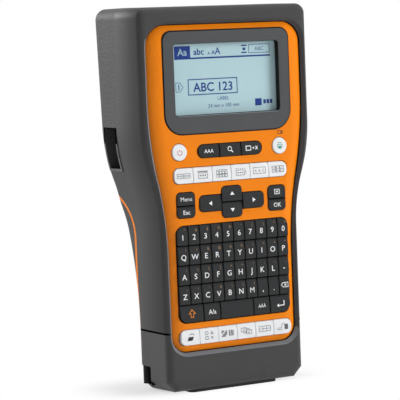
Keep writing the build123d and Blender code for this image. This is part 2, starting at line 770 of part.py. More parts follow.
# Bottom cap: the foot of the casing, with the strap notch and the hinge lugs
with BuildPart() as bottom_cap:
    add(front_outer)
    add(rear_outer)
    add(front_inner, mode=Mode.SUBTRACT)
    add(rear_inner, mode=Mode.SUBTRACT)
    add(notch_walls.part)
    block((-GRIP_WIDTH, notch_x), (NOTCH_FRONT, DEPTH), (NOTCH_BOTTOM, NOTCH_TOP), mode=Mode.SUBTRACT)
    upright(
        -GRIP_WIDTH / 2 + STRAP_POST_INSET,
        GRIP_DEPTH - STRAP_POST_INSET,
        STRAP_POST_RADIUS,
        NOTCH_BOTTOM,
        NOTCH_TOP,
    )
    slab(plate_outline(PLATE_GAP), 0, LEDGE_DEPTH, mode=Mode.SUBTRACT)
    add(lip_bevel.part, mode=Mode.SUBTRACT)
    slab(ledge_shape.sketch, LEDGE_DEPTH, LEDGE_REAR)
    screw_boss(BASE_SCREW, CASE_FRONT + WALL / 2, FRAME_FLOOR)
    block((-HEAD_WIDTH, HEAD_WIDTH), (0, BAND_DEPTH - PART_GAP), (SEAM_Z, HEIGHT), mode=Mode.SUBTRACT)
    block(
        (-HEAD_WIDTH, HEAD_WIDTH),
        (BAND_DEPTH - PART_GAP, DEPTH),
        (CAP_REAR_TOP, HEIGHT),
        mode=Mode.SUBTRACT,
    )
    for side in (-1, 1):
        with BuildSketch(Plane.YZ.offset(side * HINGE_X - LUG_WIDTH / 2)):
            with Locations((y_at(HINGE_DEPTH), HINGE_Z)):
                Circle(HINGE_INSET)
            with Locations((y_at(HINGE_DEPTH), HINGE_Z - LUG_ROOT / 2)):
                Rectangle(2 * HINGE_INSET, LUG_ROOT)
            with Locations((y_at(HINGE_DEPTH), HINGE_Z)):
                Circle(HINGE_PIN_RADIUS + RUNNING_FIT, mode=Mode.SUBTRACT)
        extrude(amount=LUG_WIDTH)
    foot_middle = (0, y_at((FOOT_FRONT + FOOT_REAR) / 2))
    with BuildSketch(level(FOOT_PROUD)):
        with Locations(foot_middle):
            RectangleRounded(FOOT_WIDTH, FOOT_REAR - FOOT_FRONT, FOOT_CORNER)
    extrude(amount=FOOT_SEAT, mode=Mode.SUBTRACT)
write(bottom_cap.part, "bottom_cap")

# Foot pad: a rubber pad let into the base
with BuildPart() as foot_pad:
    with BuildSketch():
        with Locations(foot_middle):
            pad_depth = FOOT_REAR - FOOT_FRONT - 2 * FIT_GAP
            RectangleRounded(FOOT_WIDTH - 2 * FIT_GAP, pad_depth, FOOT_CORNER - FIT_GAP)
    extrude(amount=FOOT_PROUD + FOOT_SEAT)
write(foot_pad.part, "foot_pad")

# Coloured band: the visible rim of the inner frame
with BuildPart() as band:
    add(rear_outer)
    add(band_clear, mode=Mode.INTERSECT)
    add(cover_clear, mode=Mode.SUBTRACT)
    add(rear_form(BAND_INWARD), mode=Mode.SUBTRACT)
    reach = PANEL_HALF + 2 * PART_GAP
    block((-reach, reach), (BAND_REAR + BAND_WIDTH, DEPTH), (0, HEIGHT), mode=Mode.SUBTRACT)
    strip = GRIP_WIDTH / 2 - BAND_INWARD
    block((-strip, strip), (0, DEPTH), (0, HEIGHT), mode=Mode.SUBTRACT)
    block((-HEAD_WIDTH, HEAD_WIDTH), (0, DEPTH), (0, BAND_BOTTOM), mode=Mode.SUBTRACT)

# Battery bay of the inner frame: floor, side walls and end walls
with BuildPart() as battery_bay:
    slab(casing_outline(FRAME_INSET), FRAME_FLOOR, BAND_REAR)
    bay_hollow = casing_outline(FRAME_INSET + FRAME_SIDE)
    slab(bay_hollow, FRAME_FLOOR + FRAME_THICK, DEPTH, mode=Mode.SUBTRACT)
    inside = BAY_HALF + FRAME_SIDE / 2
    below = BAY_BOTTOM - BAY_WALL
    above = BAY_TOP + BAY_WALL
    block((-inside, inside), (FRAME_FLOOR, BAND_DEPTH), (below, BAY_BOTTOM))
    block((-inside, inside), (FRAME_FLOOR, BAND_DEPTH), (BAY_TOP, above))
    block((-HEAD_WIDTH, HEAD_WIDTH), (FRAME_FLOOR + FRAME_THICK, DEPTH), (0, below), mode=Mode.SUBTRACT)
    block((-HEAD_WIDTH, HEAD_WIDTH), (0, DEPTH), (0, FRAME_BOTTOM), mode=Mode.SUBTRACT)
    block((-HEAD_WIDTH, HEAD_WIDTH), (0, DEPTH), (above, HEIGHT), mode=Mode.SUBTRACT)

# Inner frame: battery bay, mechanism bay with its two shelves, and the band
with BuildPart() as inner_frame:
    slab(casing_outline(FRAME_INSET), HEAD_FLOOR, HEAD_FLOOR + FRAME_THICK)
    block((-HEAD_WIDTH, HEAD_WIDTH), (0, DEPTH), (0, BAY_TOP), mode=Mode.SUBTRACT)
    block((-HEAD_WIDTH, HEAD_WIDTH), (0, DEPTH), (FRAME_TOP, HEIGHT), mode=Mode.SUBTRACT)
    shelf_depth = (HEAD_FLOOR, SHELF_REACH)
    block((-SHELF_HALF, SHELF_HALF), shelf_depth, (LOWER_SHELF_TOP - SHELF_THICK, LOWER_SHELF_TOP))
    block((-SHELF_HALF, SHELF_HALF), shelf_depth, (UPPER_SHELF, UPPER_SHELF_TOP))
    upright(PLATEN_X, PLATEN_DEPTH, SHAFT_RADIUS + RUNNING_FIT, 0, HEIGHT, mode=Mode.SUBTRACT)
    upright(MOTOR_X, MOTOR_DEPTH, MOTOR_BOSS_RADIUS + FIT_GAP, UPPER_SHELF, HEIGHT, mode=Mode.SUBTRACT)
    add(battery_bay.part)
    add(band.part)
    lug_x = CUTTER_X - BLADE_THICK - BLADE_GAP
    lug_half = PIVOT_RADIUS + PIVOT_LUG_WALL
    lug_depth = (PIVOT_DEPTH - lug_half, PIVOT_DEPTH + lug_half)
    block((-SHELF_HALF, lug_x), lug_depth, (LOWER_SHELF_TOP, PIVOT_Z + lug_half))
    with BuildSketch(Plane.YZ.offset(lug_x)):
        with Locations((y_at(PIVOT_DEPTH), PIVOT_Z)):
            Circle(PIVOT_RADIUS)
    extrude(amount=BLADE_THICK + BLADE_GAP)
    screw_places = [(side * x, z) for x, z in (TOP_SCREW, BASE_SCREW) for side in (-1, 1)]
    with BuildSketch(face_at(0)):
        with Locations(*screw_places):
            Circle(SCREW_RADIUS + FIT_GAP)
    extrude(amount=-DEPTH, mode=Mode.SUBTRACT)
write(inner_frame.part, "inner_frame")

# Case screws: driven from behind through the inner frame
with BuildPart() as case_screws:
    for x, z in screw_places:
        seat = HEAD_FLOOR if z > BAY_TOP else FRAME_FLOOR
        with Locations((x, y_at(seat + FRAME_THICK), z)):
            Cylinder(SCREW_HEAD_RADIUS, SCREW_HEAD_HEIGHT, rotation=TO_REAR, align=ON_END)
            Cylinder(SCREW_RADIUS, SCREW_LENGTH, rotation=TO_FRONT, align=ON_END)
write(case_screws.part, "case_screws")

# Face plate: a crowned skin with an opening for the screen and for each group of keys
with BuildPart() as face_plate:
    add(crown_form(PLATE_FRONT))
    slab(plate_outline(), 0, DEPTH, mode=Mode.INTERSECT)
    add(crown_form(PLATE_FRONT + PLATE_THICK), mode=Mode.SUBTRACT)
    slab(bezel_outline(BEZEL_GAP), 0, DEPTH, mode=Mode.SUBTRACT)
    for shape in key_outlines(KEY_CLEARANCE):
        slab(shape, 0, DEPTH, mode=Mode.SUBTRACT)
write(face_plate.part, "face_plate")

# Screen bezel: a deep frame, stepped behind for the window and the display
window_rear = WINDOW_DEPTH + WINDOW_THICK
with BuildPart() as screen_bezel:
    slab(bezel_outline(), BEZEL_FRONT, LEDGE_REAR)
    slab(screen_outline(0), 0, WINDOW_DEPTH, mode=Mode.SUBTRACT)
    slab(screen_outline(WINDOW_BORDER + FIT_GAP), WINDOW_DEPTH, window_rear, mode=Mode.SUBTRACT)
    slab(screen_outline(LCD_BORDER + FIT_GAP), window_rear, LEDGE_REAR, mode=Mode.SUBTRACT)
write(screen_bezel.part, "screen_bezel")

with BuildPart() as screen_window:
    slab(screen_outline(WINDOW_BORDER), WINDOW_DEPTH, window_rear)
write(screen_window.part, "screen_window")

with BuildPart() as lcd_panel:
    slab(screen_outline(LCD_BORDER), window_rear + FIT_GAP, LEDGE_REAR)
write(lcd_panel.part, "lcd_panel")

# Key membrane: a sheet on the board under all the keys
with BuildPart() as key_membrane:
    membrane_bottom = LOWER_STRIP_Z - STRIP_HEIGHT / 2 - MEMBRANE_BORDER
    membrane_top = ROUND_KEY_Z + ROUND_KEY_DIAMETER / 2 + MEMBRANE_BORDER
    membrane_width = 2 * ROUND_KEY_X + ROUND_KEY_DIAMETER
    membrane_shape = rounded(membrane_width, membrane_bottom, membrane_top, PLATE_CORNER_LOW)
    slab(membrane_shape, MEMBRANE_FRONT, LEDGE_REAR)
write(key_membrane.part, "key_membrane")

# Main board: seated on the back of the ledge, with its processor behind
with BuildPart() as main_board:
    slab(plate_outline(-BOARD_MARGIN), LEDGE_REAR, BOARD_REAR)
    block(
        (-CHIP_SIZE / 2, CHIP_SIZE / 2),
        (BOARD_REAR, BOARD_REAR + CHIP_THICK),
        (FUNCTION_Z - CHIP_SIZE / 2, FUNCTION_Z + CHIP_SIZE / 2),
    )
write(main_board.part, "main_board")

# Character keys: four rows of like keys, then the row with the space key
column = BOARD_KEYS_WIDTH / COLUMNS
left_edge = -BOARD_KEYS_WIDTH / 2
space_row_top = BOARD_KEYS_BOTTOM + SPACE_ROW_HEIGHT
row_height = (BOARD_KEYS_TOP - space_row_top) / len(LETTER_ROWS)
for row, name in enumerate(LETTER_ROWS):
    bottom = space_row_top + row * row_height
    cells = []
    for index in range(COLUMNS):
        left = left_edge + index * column
        cells.append(key_cell(keyboard_outline(), left, left + column, bottom, bottom + row_height))
    key_solid(cells, name)
left = left_edge
for name, columns in SPACE_ROW:
    right = left + columns * column
    key_solid([key_cell(keyboard_outline(), left, right, BOARD_KEYS_BOTTOM, space_row_top)], name)
    left = right

# Quick keys: a strip above the arrows and a strip below the character keys
upper_strip = ("upper", UPPER_STRIP_WIDTH, UPPER_STRIP_Z)
lower_strip = ("lower", LOWER_STRIP_WIDTH, LOWER_STRIP_Z)
for strip, width, z in (upper_strip, lower_strip):
    share = width / STRIP_KEYS
    low = z - STRIP_HEIGHT / 2 - KEY_GAP / 2
    high = z + STRIP_HEIGHT / 2 + KEY_GAP / 2
    for index in range(STRIP_KEYS):
        left = -width / 2 + index * share
        cell = key_cell(strip_outline(width, z), left, left + share, low, high)
        key_solid([cell], f"{strip}_quick_key_{index + 1}")

# Function keys between the power key and the print key
share = FUNCTION_WIDTH / len(FUNCTION_KEYS)
for index, name in enumerate(FUNCTION_KEYS):
    left = -FUNCTION_WIDTH / 2 + index * share
    low = FUNCTION_Z - FUNCTION_HEIGHT
    key_solid([key_cell(function_outline(), left, left + share, low, low + 2 * FUNCTION_HEIGHT)], name)
key_solid([round_key_outline(-1)], "power_key")
key_solid([round_key_outline(1)], "print_key")

# Two keys on each side of the arrows
for side, names in ((-1, ("escape_key", "menu_key")), (1, ("ok_key", "preview_key"))):
    left = side * SIDE_KEY_X - SIDE_KEY_WIDTH
    right = side * SIDE_KEY_X + SIDE_KEY_WIDTH
    low = ARROW_Z - SIDE_KEY_HEIGHT
    high = ARROW_Z + SIDE_KEY_HEIGHT
    for name, limits in zip(names, ((low, SIDE_KEY_SPLIT), (SIDE_KEY_SPLIT, high))):
        key_solid([key_cell(side_key_outline(side), left, right, *limits)], name)

# Arrow keys: up and down share the column, left and right close the cross
column_half = ARROW_COLUMN / 2
arrow_bottom = ARROW_Z - ARROW_SPAN_Z
arrow_top = ARROW_Z + ARROW_SPAN_Z
reach = column_half + KEY_GAP / 2
key_solid([key_cell(arrow_outline(), -reach, reach, ARROW_Z, arrow_top)], "up_key")
key_solid([key_cell(arrow_outline(), -reach, reach, arrow_bottom, ARROW_Z)], "down_key")
key_solid([key_cell(arrow_outline(), -ARROW_SPAN_X, -reach, arrow_bottom, arrow_top)], "left_key")
key_solid([key_cell(arrow_outline(), reach, ARROW_SPAN_X, arrow_bottom, arrow_top)], "right_key")

# Battery cells: as many side by side as the grip holds
cell_places = [(index - (CELL_COUNT - 1) / 2) * CELL_PITCH for index in range(CELL_COUNT)]
cell_top = CELL_BOTTOM + CELL_LENGTH
with BuildPart() as battery_cells:
    for x in cell_places:
        upright(x, CELL_DEPTH, CELL_RADIUS, CELL_BOTTOM, cell_top)
        upright(x, CELL_DEPTH, CELL_NUB_RADIUS, cell_top, cell_top + CELL_NUB_LENGTH)
write(battery_cells.part, "battery_cells")

# Battery contacts: flat plates above, bent leaves below
leaf_depth = (CELL_DEPTH - CONTACT_HEIGHT / 2, CELL_DEPTH + CONTACT_HEIGHT / 2)
with BuildPart() as battery_contacts:
    for x in cell_places:
        span = (x - CONTACT_WIDTH / 2, x + CONTACT_WIDTH / 2)
        block(span, leaf_depth, (BAY_TOP - CONTACT_THICK, BAY_TOP))
        with BuildSketch(Plane.YZ.offset(span[0])):
            with BuildLine():
                Polyline(
                    (y_at(leaf_depth[0]), BAY_BOTTOM),
                    (y_at(leaf_depth[1]), BAY_BOTTOM),
                    (y_at(leaf_depth[1]), BAY_BOTTOM + CONTACT_THICK),
                    (y_at(leaf_depth[0] + 2 * CONTACT_THICK), BAY_BOTTOM + CONTACT_THICK),
                    (y_at(CELL_DEPTH + CONTACT_THICK), CELL_BOTTOM - FIT_GAP),
                    (y_at(CELL_DEPTH - CONTACT_THICK), CELL_BOTTOM - FIT_GAP),
                    (y_at(leaf_depth[0]), BAY_BOTTOM + CONTACT_THICK),
                    close=True,
                )
            make_face()
        extrude(amount=CONTACT_WIDTH)
write(battery_contacts.part, "battery_contacts")

# Cassette shell: a closed box with a post for each spool, a tape slit and a view opening
post_places = [(TAPE_ROLL_X, SPOOL_DEPTH), (RIBBON_X, SPOOL_DEPTH)]
cassette_middle = ((CASSETTE_LEFT + CASSETTE_RIGHT) / 2, y_at(SPOOL_DEPTH))
cassette_size = (CASSETTE_RIGHT - CASSETTE_LEFT, CASSETTE_REAR - CASSETTE_FRONT)
cassette_hollow = (cassette_size[0] - 2 * CASSETTE_WALL, cassette_size[1] - 2 * CASSETTE_WALL)
with BuildPart() as cassette_shell:
    with BuildSketch(level(CASSETTE_BOTTOM)):
        with Locations(cassette_middle):
            RectangleRounded(*cassette_size, CASSETTE_CORNER)
    extrude(amount=CASSETTE_HEIGHT)
    with BuildSketch(level(CASSETTE_BOTTOM + CASSETTE_WALL)):
        with Locations(cassette_middle):
            RectangleRounded(*cassette_hollow, CASSETTE_CORNER - CASSETTE_WALL)
    extrude(amount=CASSETTE_HEIGHT - 2 * CASSETTE_WALL, mode=Mode.SUBTRACT)
    for x, depth in post_places:
        upright(x, depth, POST_RADIUS, CASSETTE_BOTTOM, CASSETTE_TOP)
    tape_bottom = EXIT_Z - TAPE_WIDTH / 2
    tape_top = EXIT_Z + TAPE_WIDTH / 2
    block(
        (CASSETTE_LEFT - CASSETTE_WALL, CASSETTE_LEFT + 2 * CASSETTE_WALL),
        (TAPE_PATH_DEPTH - TAPE_SLIT / 2, TAPE_PATH_DEPTH + TAPE_SLIT / 2),
        (tape_bottom - TAPE_SLIT / 2, tape_top + TAPE_SLIT / 2),
        mode=Mode.SUBTRACT,
    )
    block(
        (TAPE_ROLL_X - CASSETTE_VIEW_WIDTH / 2, TAPE_ROLL_X + CASSETTE_VIEW_WIDTH / 2),
        (CASSETTE_REAR - 2 * CASSETTE_WALL, CASSETTE_REAR + CASSETTE_WALL),
        (EXIT_Z - CASSETTE_VIEW_HEIGHT / 2, EXIT_Z + CASSETTE_VIEW_HEIGHT / 2),
        mode=Mode.SUBTRACT,
    )
write(cassette_shell.part, "cassette_shell")

# Spools on the cassette's posts
post_hole = POST_RADIUS + RUNNING_FIT
spool_bottom = CASSETTE_BOTTOM + CASSETTE_WALL + SPOOL_CLEARANCE
spool_top = CASSETTE_TOP - CASSETTE_WALL - SPOOL_CLEARANCE
with BuildPart() as tape_spool:
    upright(TAPE_ROLL_X, SPOOL_DEPTH, POST_RADIUS + CASSETTE_WALL, spool_bottom, spool_top)
    upright(TAPE_ROLL_X, SPOOL_DEPTH, TAPE_ROLL_RADIUS, tape_bottom, tape_top)
    upright(TAPE_ROLL_X, SPOOL_DEPTH, post_hole, spool_bottom, spool_top, mode=Mode.SUBTRACT)
write(tape_spool.part, "tape_spool")

with BuildPart() as ribbon_spool:
    upright(RIBBON_X, SPOOL_DEPTH, RIBBON_CORE_RADIUS, spool_bottom, spool_top)
    upright(RIBBON_X, SPOOL_DEPTH, RIBBON_RADIUS, tape_bottom, tape_top)
    upright(RIBBON_X, SPOOL_DEPTH, post_hole, spool_bottom, spool_top, mode=Mode.SUBTRACT)
write(ribbon_spool.part, "ribbon_spool")

# Platen: a steel shaft with its gear, and the rubber roller on it
platen_at = (PLATEN_X, y_at(PLATEN_DEPTH))
half_pitch = 180 / PLATEN_TEETH
with BuildPart() as platen_shaft:
    shaft_bottom = LOWER_SHELF_TOP - SHELF_THICK + FIT_GAP
    upright(PLATEN_X, PLATEN_DEPTH, SHAFT_RADIUS, shaft_bottom, UPPER_SHELF_TOP - FIT_GAP)
    with BuildSketch(level(GEAR_BOTTOM)):
        with Locations(platen_at):
            add(gear_outline(PLATEN_TEETH, MOTOR_ANGLE + half_pitch))
    extrude(amount=GEAR_THICK)
write(platen_shaft.part, "platen_shaft")

with BuildPart() as platen_roller:
    roller_bottom = EXIT_Z - PLATEN_LENGTH / 2
    roller_top = EXIT_Z + PLATEN_LENGTH / 2
    upright(PLATEN_X, PLATEN_DEPTH, PLATEN_RADIUS, roller_bottom, roller_top)
    upright(PLATEN_X, PLATEN_DEPTH, SHAFT_RADIUS, roller_bottom, roller_top, mode=Mode.SUBTRACT)
write(platen_roller.part, "platen_roller")

# Feed motor on the upper shelf, with its pinion hanging below
with BuildPart() as feed_motor:
    upright(MOTOR_X, MOTOR_DEPTH, MOTOR_RADIUS, UPPER_SHELF_TOP, UPPER_SHELF_TOP + MOTOR_LENGTH)
    upright(MOTOR_X, MOTOR_DEPTH, MOTOR_BOSS_RADIUS, UPPER_SHELF, UPPER_SHELF_TOP)
    shaft_hole = SHAFT_RADIUS + RUNNING_FIT
    upright(MOTOR_X, MOTOR_DEPTH, shaft_hole, UPPER_SHELF, UPPER_SHELF_TOP, mode=Mode.SUBTRACT)
write(feed_motor.part, "feed_motor")

with BuildPart() as motor_pinion:
    upright(MOTOR_X, MOTOR_DEPTH, SHAFT_RADIUS, GEAR_BOTTOM, UPPER_SHELF_TOP - FIT_GAP)
    with BuildSketch(level(GEAR_BOTTOM)):
        with Locations((MOTOR_X, y_at(MOTOR_DEPTH))):
            add(gear_outline(PINION_TEETH, MOTOR_ANGLE + 180))
    extrude(amount=GEAR_THICK)
write(motor_pinion.part, "motor_pinion")

# Print head: a finned block that faces the platen across the tape
with BuildPart() as print_head:
    head_x = (PLATEN_X - HEAD_BLOCK_WIDTH / 2, PLATEN_X + HEAD_BLOCK_WIDTH / 2)
    head_z = (EXIT_Z - HEAD_BLOCK_HEIGHT / 2, EXIT_Z + HEAD_BLOCK_HEIGHT / 2)
    block(head_x, (HEAD_FLOOR + FRAME_THICK, TAPE_PATH_DEPTH - PLATEN_GAP), head_z)
    fin_pitch = HEAD_BLOCK_HEIGHT / HEAT_SINK_FINS
    for index in range(1, HEAT_SINK_FINS):
        z = head_z[0] + index * fin_pitch
        fin_x = (head_x[1] - FIN_SLOT_DEPTH, head_x[1] + FIN_SLOT_DEPTH)
        fin_depth = (HEAD_FLOOR + 2 * FRAME_THICK, TAPE_PATH_DEPTH - 2 * FIN_SLOT)
        block(fin_x, fin_depth, (z - FIN_SLOT / 2, z + FIN_SLOT / 2), mode=Mode.SUBTRACT)
write(print_head.part, "print_head")

# Cutter: a fixed blade in front of the tape and a swinging blade behind it
with BuildPart() as fixed_blade:
    block(
        (FIXED_BLADE_X - BLADE_THICK, FIXED_BLADE_X),
        (FIXED_BLADE_REAR - FIXED_BLADE_DEPTH, FIXED_BLADE_REAR),
        (LOWER_SHELF_TOP, LOWER_SHELF_TOP + FIXED_BLADE_HEIGHT),
    )
write(fixed_blade.part, "fixed_blade")

with BuildPart() as cutter_blade:
    open_angle = radians(CUTTER_OPEN)
    swing = Plane(
        origin=(CUTTER_X - BLADE_THICK, y_at(PIVOT_DEPTH), PIVOT_Z),
        x_dir=(0, cos(open_angle), -sin(open_angle)),
        z_dir=(1, 0, 0),
    )
    with BuildSketch(swing):
        with BuildLine():
            Polyline(
                (-CUTTER_EDGE, PIVOT_RADIUS),
                (-CUTTER_EDGE, CUTTER_REACH),
                (CUTTER_WIDTH - CUTTER_EDGE, CUTTER_REACH),
                (PIVOT_EYE_RADIUS, PIVOT_RADIUS),
                close=True,
            )
        make_face()
        Circle(PIVOT_EYE_RADIUS)
        Circle(PIVOT_RADIUS + RUNNING_FIT, mode=Mode.SUBTRACT)
    extrude(amount=BLADE_THICK)
write(cutter_blade.part, "cutter_blade")

# Rear cover: the back of the grip and the panel over the mechanism, in one shell
with BuildPart() as cover_region:
    add(cover_side)
    block((-COVER_THICK_HALF, COVER_THICK_HALF), (BAND_DEPTH, DEPTH), (0, BAND_BEND_Z))
    block((-PANEL_HALF, PANEL_HALF), (BAND_REAR, DEPTH), (BAND_BEND_Z, PANEL_TOP))

with BuildPart() as rear_cover:
    add(rear_outer)
    add(cover_inner, mode=Mode.SUBTRACT)
    add(cover_region.part, mode=Mode.INTERSECT)
    block((-HEAD_WIDTH, HEAD_WIDTH), (0, DEPTH), (0, COVER_BOTTOM), mode=Mode.SUBTRACT)
    bottom_edges = rear_cover.edges().filter_by(Axis.X).group_by(Axis.Z)[0]
    chamfer(bottom_edges.sort_by(Axis.Y)[-1], length=COVER_EDGE_CHAMFER)
    for side in (-1, 1):
        notch = (side * HINGE_X - LUG_NOTCH_WIDTH / 2, side * HINGE_X + LUG_NOTCH_WIDTH / 2)
        block(notch, (0, DEPTH), (0, COVER_BOTTOM + LUG_NOTCH_HEIGHT), mode=Mode.SUBTRACT)
        with BuildSketch(Plane.YZ.offset(notch[0] - PART_GAP)):
            with Locations((y_at(HINGE_DEPTH), HINGE_Z)):
                Circle(HINGE_PIN_RADIUS)
        extrude(amount=LUG_NOTCH_WIDTH + 2 * PART_GAP)
        corner = (side * COVER_SWING_HALF, side * HEAD_WIDTH)
        block(sorted(corner), (0, DEPTH), (0, HINGE_Z + FIT_GAP), mode=Mode.SUBTRACT)
    slot = LATCH_WIDTH / 2 + LATCH_CLEARANCE
    slot_bottom = LATCH_TOP - LATCH_HEIGHT - LATCH_TRAVEL - LATCH_CLEARANCE
    slot_z = (slot_bottom, LATCH_TOP + LATCH_CLEARANCE)
    block((-slot, slot), (BAND_REAR, DEPTH), slot_z, mode=Mode.SUBTRACT)
write(rear_cover.part, "rear_cover")

# Cover latch: a ribbed slider in the panel, held by a flange behind it
with BuildPart() as latch_flange:
    add(rear_form(COVER_WALL + LATCH_CLEARANCE))
    add(rear_form(COVER_WALL + LATCH_CLEARANCE + LATCH_THICK), mode=Mode.SUBTRACT)
    flange = LATCH_WIDTH / 2 + LATCH_FLANGE
    flange_z = (LATCH_TOP - LATCH_HEIGHT - LATCH_FLANGE, LATCH_TOP + LATCH_FLANGE)
    block((-flange, flange), (BAND_REAR, DEPTH), flange_z, mode=Mode.INTERSECT)

with BuildPart() as cover_latch:
    add(rear_form(LATCH_CLEARANCE))
    add(rear_form(COVER_WALL + 2 * LATCH_CLEARANCE), mode=Mode.SUBTRACT)
    latch_x = (-LATCH_WIDTH / 2, LATCH_WIDTH / 2)
    block(latch_x, (BAND_REAR, DEPTH), (LATCH_TOP - LATCH_HEIGHT, LATCH_TOP), mode=Mode.INTERSECT)
    for index in range(LATCH_GROOVES):
        z = LATCH_TOP - (index + 1) * LATCH_HEIGHT / (LATCH_GROOVES + 1)
        z_limits = (z - LATCH_GROOVE_WIDTH / 2, z + LATCH_GROOVE_WIDTH / 2)
        groove = DEPTH - LATCH_GROOVE_DEPTH - (HEIGHT - z) * tan(REAR_SLOPE)
        groove_x = (-LATCH_GROOVE_LENGTH / 2, LATCH_GROOVE_LENGTH / 2)
        block(groove_x, (groove, DEPTH), z_limits, mode=Mode.SUBTRACT)
    add(latch_flange.part)
write(cover_latch.part, "cover_latch")
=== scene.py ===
import json

import bmesh
import bpy
import numpy as np
from mathutils import Matrix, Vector
from mathutils.geometry import convex_hull_2d


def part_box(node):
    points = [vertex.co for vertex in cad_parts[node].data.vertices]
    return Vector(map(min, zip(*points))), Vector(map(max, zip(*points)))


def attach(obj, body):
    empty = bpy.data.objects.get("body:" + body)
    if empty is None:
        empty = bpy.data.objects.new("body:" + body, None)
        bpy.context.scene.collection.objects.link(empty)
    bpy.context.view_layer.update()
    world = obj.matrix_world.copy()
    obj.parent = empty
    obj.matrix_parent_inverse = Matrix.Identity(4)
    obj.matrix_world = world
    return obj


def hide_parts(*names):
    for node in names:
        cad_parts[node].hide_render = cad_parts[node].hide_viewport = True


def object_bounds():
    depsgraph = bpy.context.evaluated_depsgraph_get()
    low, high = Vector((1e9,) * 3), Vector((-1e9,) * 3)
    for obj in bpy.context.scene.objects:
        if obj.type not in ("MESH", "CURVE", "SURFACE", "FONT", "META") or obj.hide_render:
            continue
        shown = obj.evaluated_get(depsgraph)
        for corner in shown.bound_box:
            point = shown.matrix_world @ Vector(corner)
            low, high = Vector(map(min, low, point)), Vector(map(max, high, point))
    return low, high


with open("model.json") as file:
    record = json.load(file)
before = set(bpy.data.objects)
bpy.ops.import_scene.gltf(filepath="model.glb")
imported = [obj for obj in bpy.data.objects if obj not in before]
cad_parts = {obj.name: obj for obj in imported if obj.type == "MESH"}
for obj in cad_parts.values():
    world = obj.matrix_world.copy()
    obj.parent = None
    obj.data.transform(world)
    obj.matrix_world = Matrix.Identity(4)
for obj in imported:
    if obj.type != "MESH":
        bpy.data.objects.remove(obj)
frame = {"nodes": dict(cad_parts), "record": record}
cad_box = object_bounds()

# Sizes in metres. The printed marks alone are drawn in millimetres
MM = 0.001
KEY_PLANE = cad_box[0][1]

# Key caps: a soft edge, a top that falls back in its upper half, and the corner rounds of their groups
CAP_EDGE = 0.55 * MM
CAP_TOP_DEPTH = 0.08 * MM
KEY_FALL = 1.1 * MM
FALL_POWER = 1.5
EDGE_STEPS = 5
RING_STEPS = 18
BAND_STEPS = 90
KEY_CORNER = 0.5 * MM
KEYBOARD_CORNER = 5.0 * MM
STRIP_CORNER = 3.6 * MM
FUNCTION_CORNER = 4.1 * MM
SIDE_CORNER = 2.6 * MM
ARROW_CORNER = 3.0 * MM
ROUND_CORNER = 5.2 * MM
LEAST_CORNER = 0.05 * MM
ROW_KEYS = 10
KEY_GAP = 0.6 * MM
STRIP_KEYS = 6
STRIP_CLOSER = 0.23 * MM

# Casing: gloss of its plastic, and how steeply the side wall leans away at its front edge
SHEEN = 0.22
SIDE_SWELL = 0.45

# Moulded plastic: clouds in a metre, how fine they are, and how much the gloss changes with them
CLOUDS = 45.0
CLOUD_DETAIL = 4.0
CLOUD_GLOSS = 0.12

# Brushed metal: scale of its pattern along the lines, as a share of that across, change of gloss and relief
BRUSH_STRETCH = 0.04
BRUSH_GLOSS = 0.16
BRUSH_RELIEF = 0.02 * MM

# Display: cells in a metre, both ways
DISPLAY_CELLS = 2200.0

# Battery cells: pale band, raised end and bare metal rim
CELL_BAND = 13 * MM
CELL_NUB = 1.2 * MM
CELL_RIM = 0.8 * MM

# Lip beside the face plate, with a painted highlight: how far back it lies, and the directions that its
# triangles face
PLATE_MIDDLE = 120.0 * MM
LIP_REAR = 3.5 * MM
LIP_LIFT = 0.03 * MM
LIP_SLOPES = (-0.9, -0.4)
LIP_TURN = 0.2
LIP_DROP = -0.25
LEAST_LENGTH = 1e-20

# Seam over the bottom cap
SEAM_Z = 38.5 * MM
SEAM_TOLERANCE = 0.02 * MM
SEAM_HALF = 0.6 * MM
SEAM_RISE = 0.1 * MM
SEAM_LIFT = 0.08 * MM
SEAM_FROM = 47.4 * MM

# Strap notch, with painted shade in it
POST_INSET = 4.2 * MM
SLEEVE_RADIUS = 2.9 * MM
NOTCH_WIDTH = 9.0 * MM
NOTCH_REACH = 15.4 * MM
NOTCH_LOW = 4.0 * MM
NOTCH_HIGH = 16.0 * MM
NOTCH_SIDE_EDGE = 0.5 * MM
NOTCH_REAR_EDGE = 0.4 * MM

# Screen: painted shade as a black lining of the opening and a black band round the bezel, and a painted
# highlight under the opening
SCREEN_HALF = 37.8 * MM
SCREEN_LOW = 172.4 * MM
SCREEN_HIGH = 216.6 * MM
SCREEN_CORNER = 2.0 * MM
LINING = 0.25 * MM
LINING_GAP = 0.02 * MM
LINING_FRONT = 0.9 * MM
SILL = 0.5 * MM
BEZEL_CORNER_LOW = 12.0 * MM
BEZEL_CORNER_HIGH = 6.0 * MM
GAP_SHADE_WIDTH = 0.8 * MM
GAP_SHADE_FRONT = 0.85 * MM
GAP_SHADE_REAR = 1.6 * MM

# Tape exit: depths, heights and outward place of its rim, which has a painted highlight, and the direction
# that the rim faces
EXIT_DEPTHS = (35.2 * MM, 52.8 * MM)
EXIT_HEIGHTS = (138.2 * MM, 167.3 * MM)
EXIT_FROM = 50.0 * MM
EXIT_FACING = -0.5

# Ink: how far it stands off a surface, how far each mark stands off the one before, and how finely it bends
INK_LIFT = 0.03 * MM
DISPLAY_LIFT = 0.04 * MM
MARK_STEP = 0.0012 * MM
SLICE = 0.4 * MM

# Printed marks, in millimetres: lines, letters and the place of letters on their keys
LINE = 0.42
BOLD = 0.5
THIN = 0.36
FINE = 0.3
LETTER_HEIGHT = 3.5
LETTER_DROP = 0.9
SMALL_MARK_HEIGHT = 1.7
SMALL_MARK_RISE = 3.3
SMALL_MARK_SHIFT = 1.7
PLATE_SIGN_SHIFT = 1.0
PLATE_SIGN_RISE = 8.3

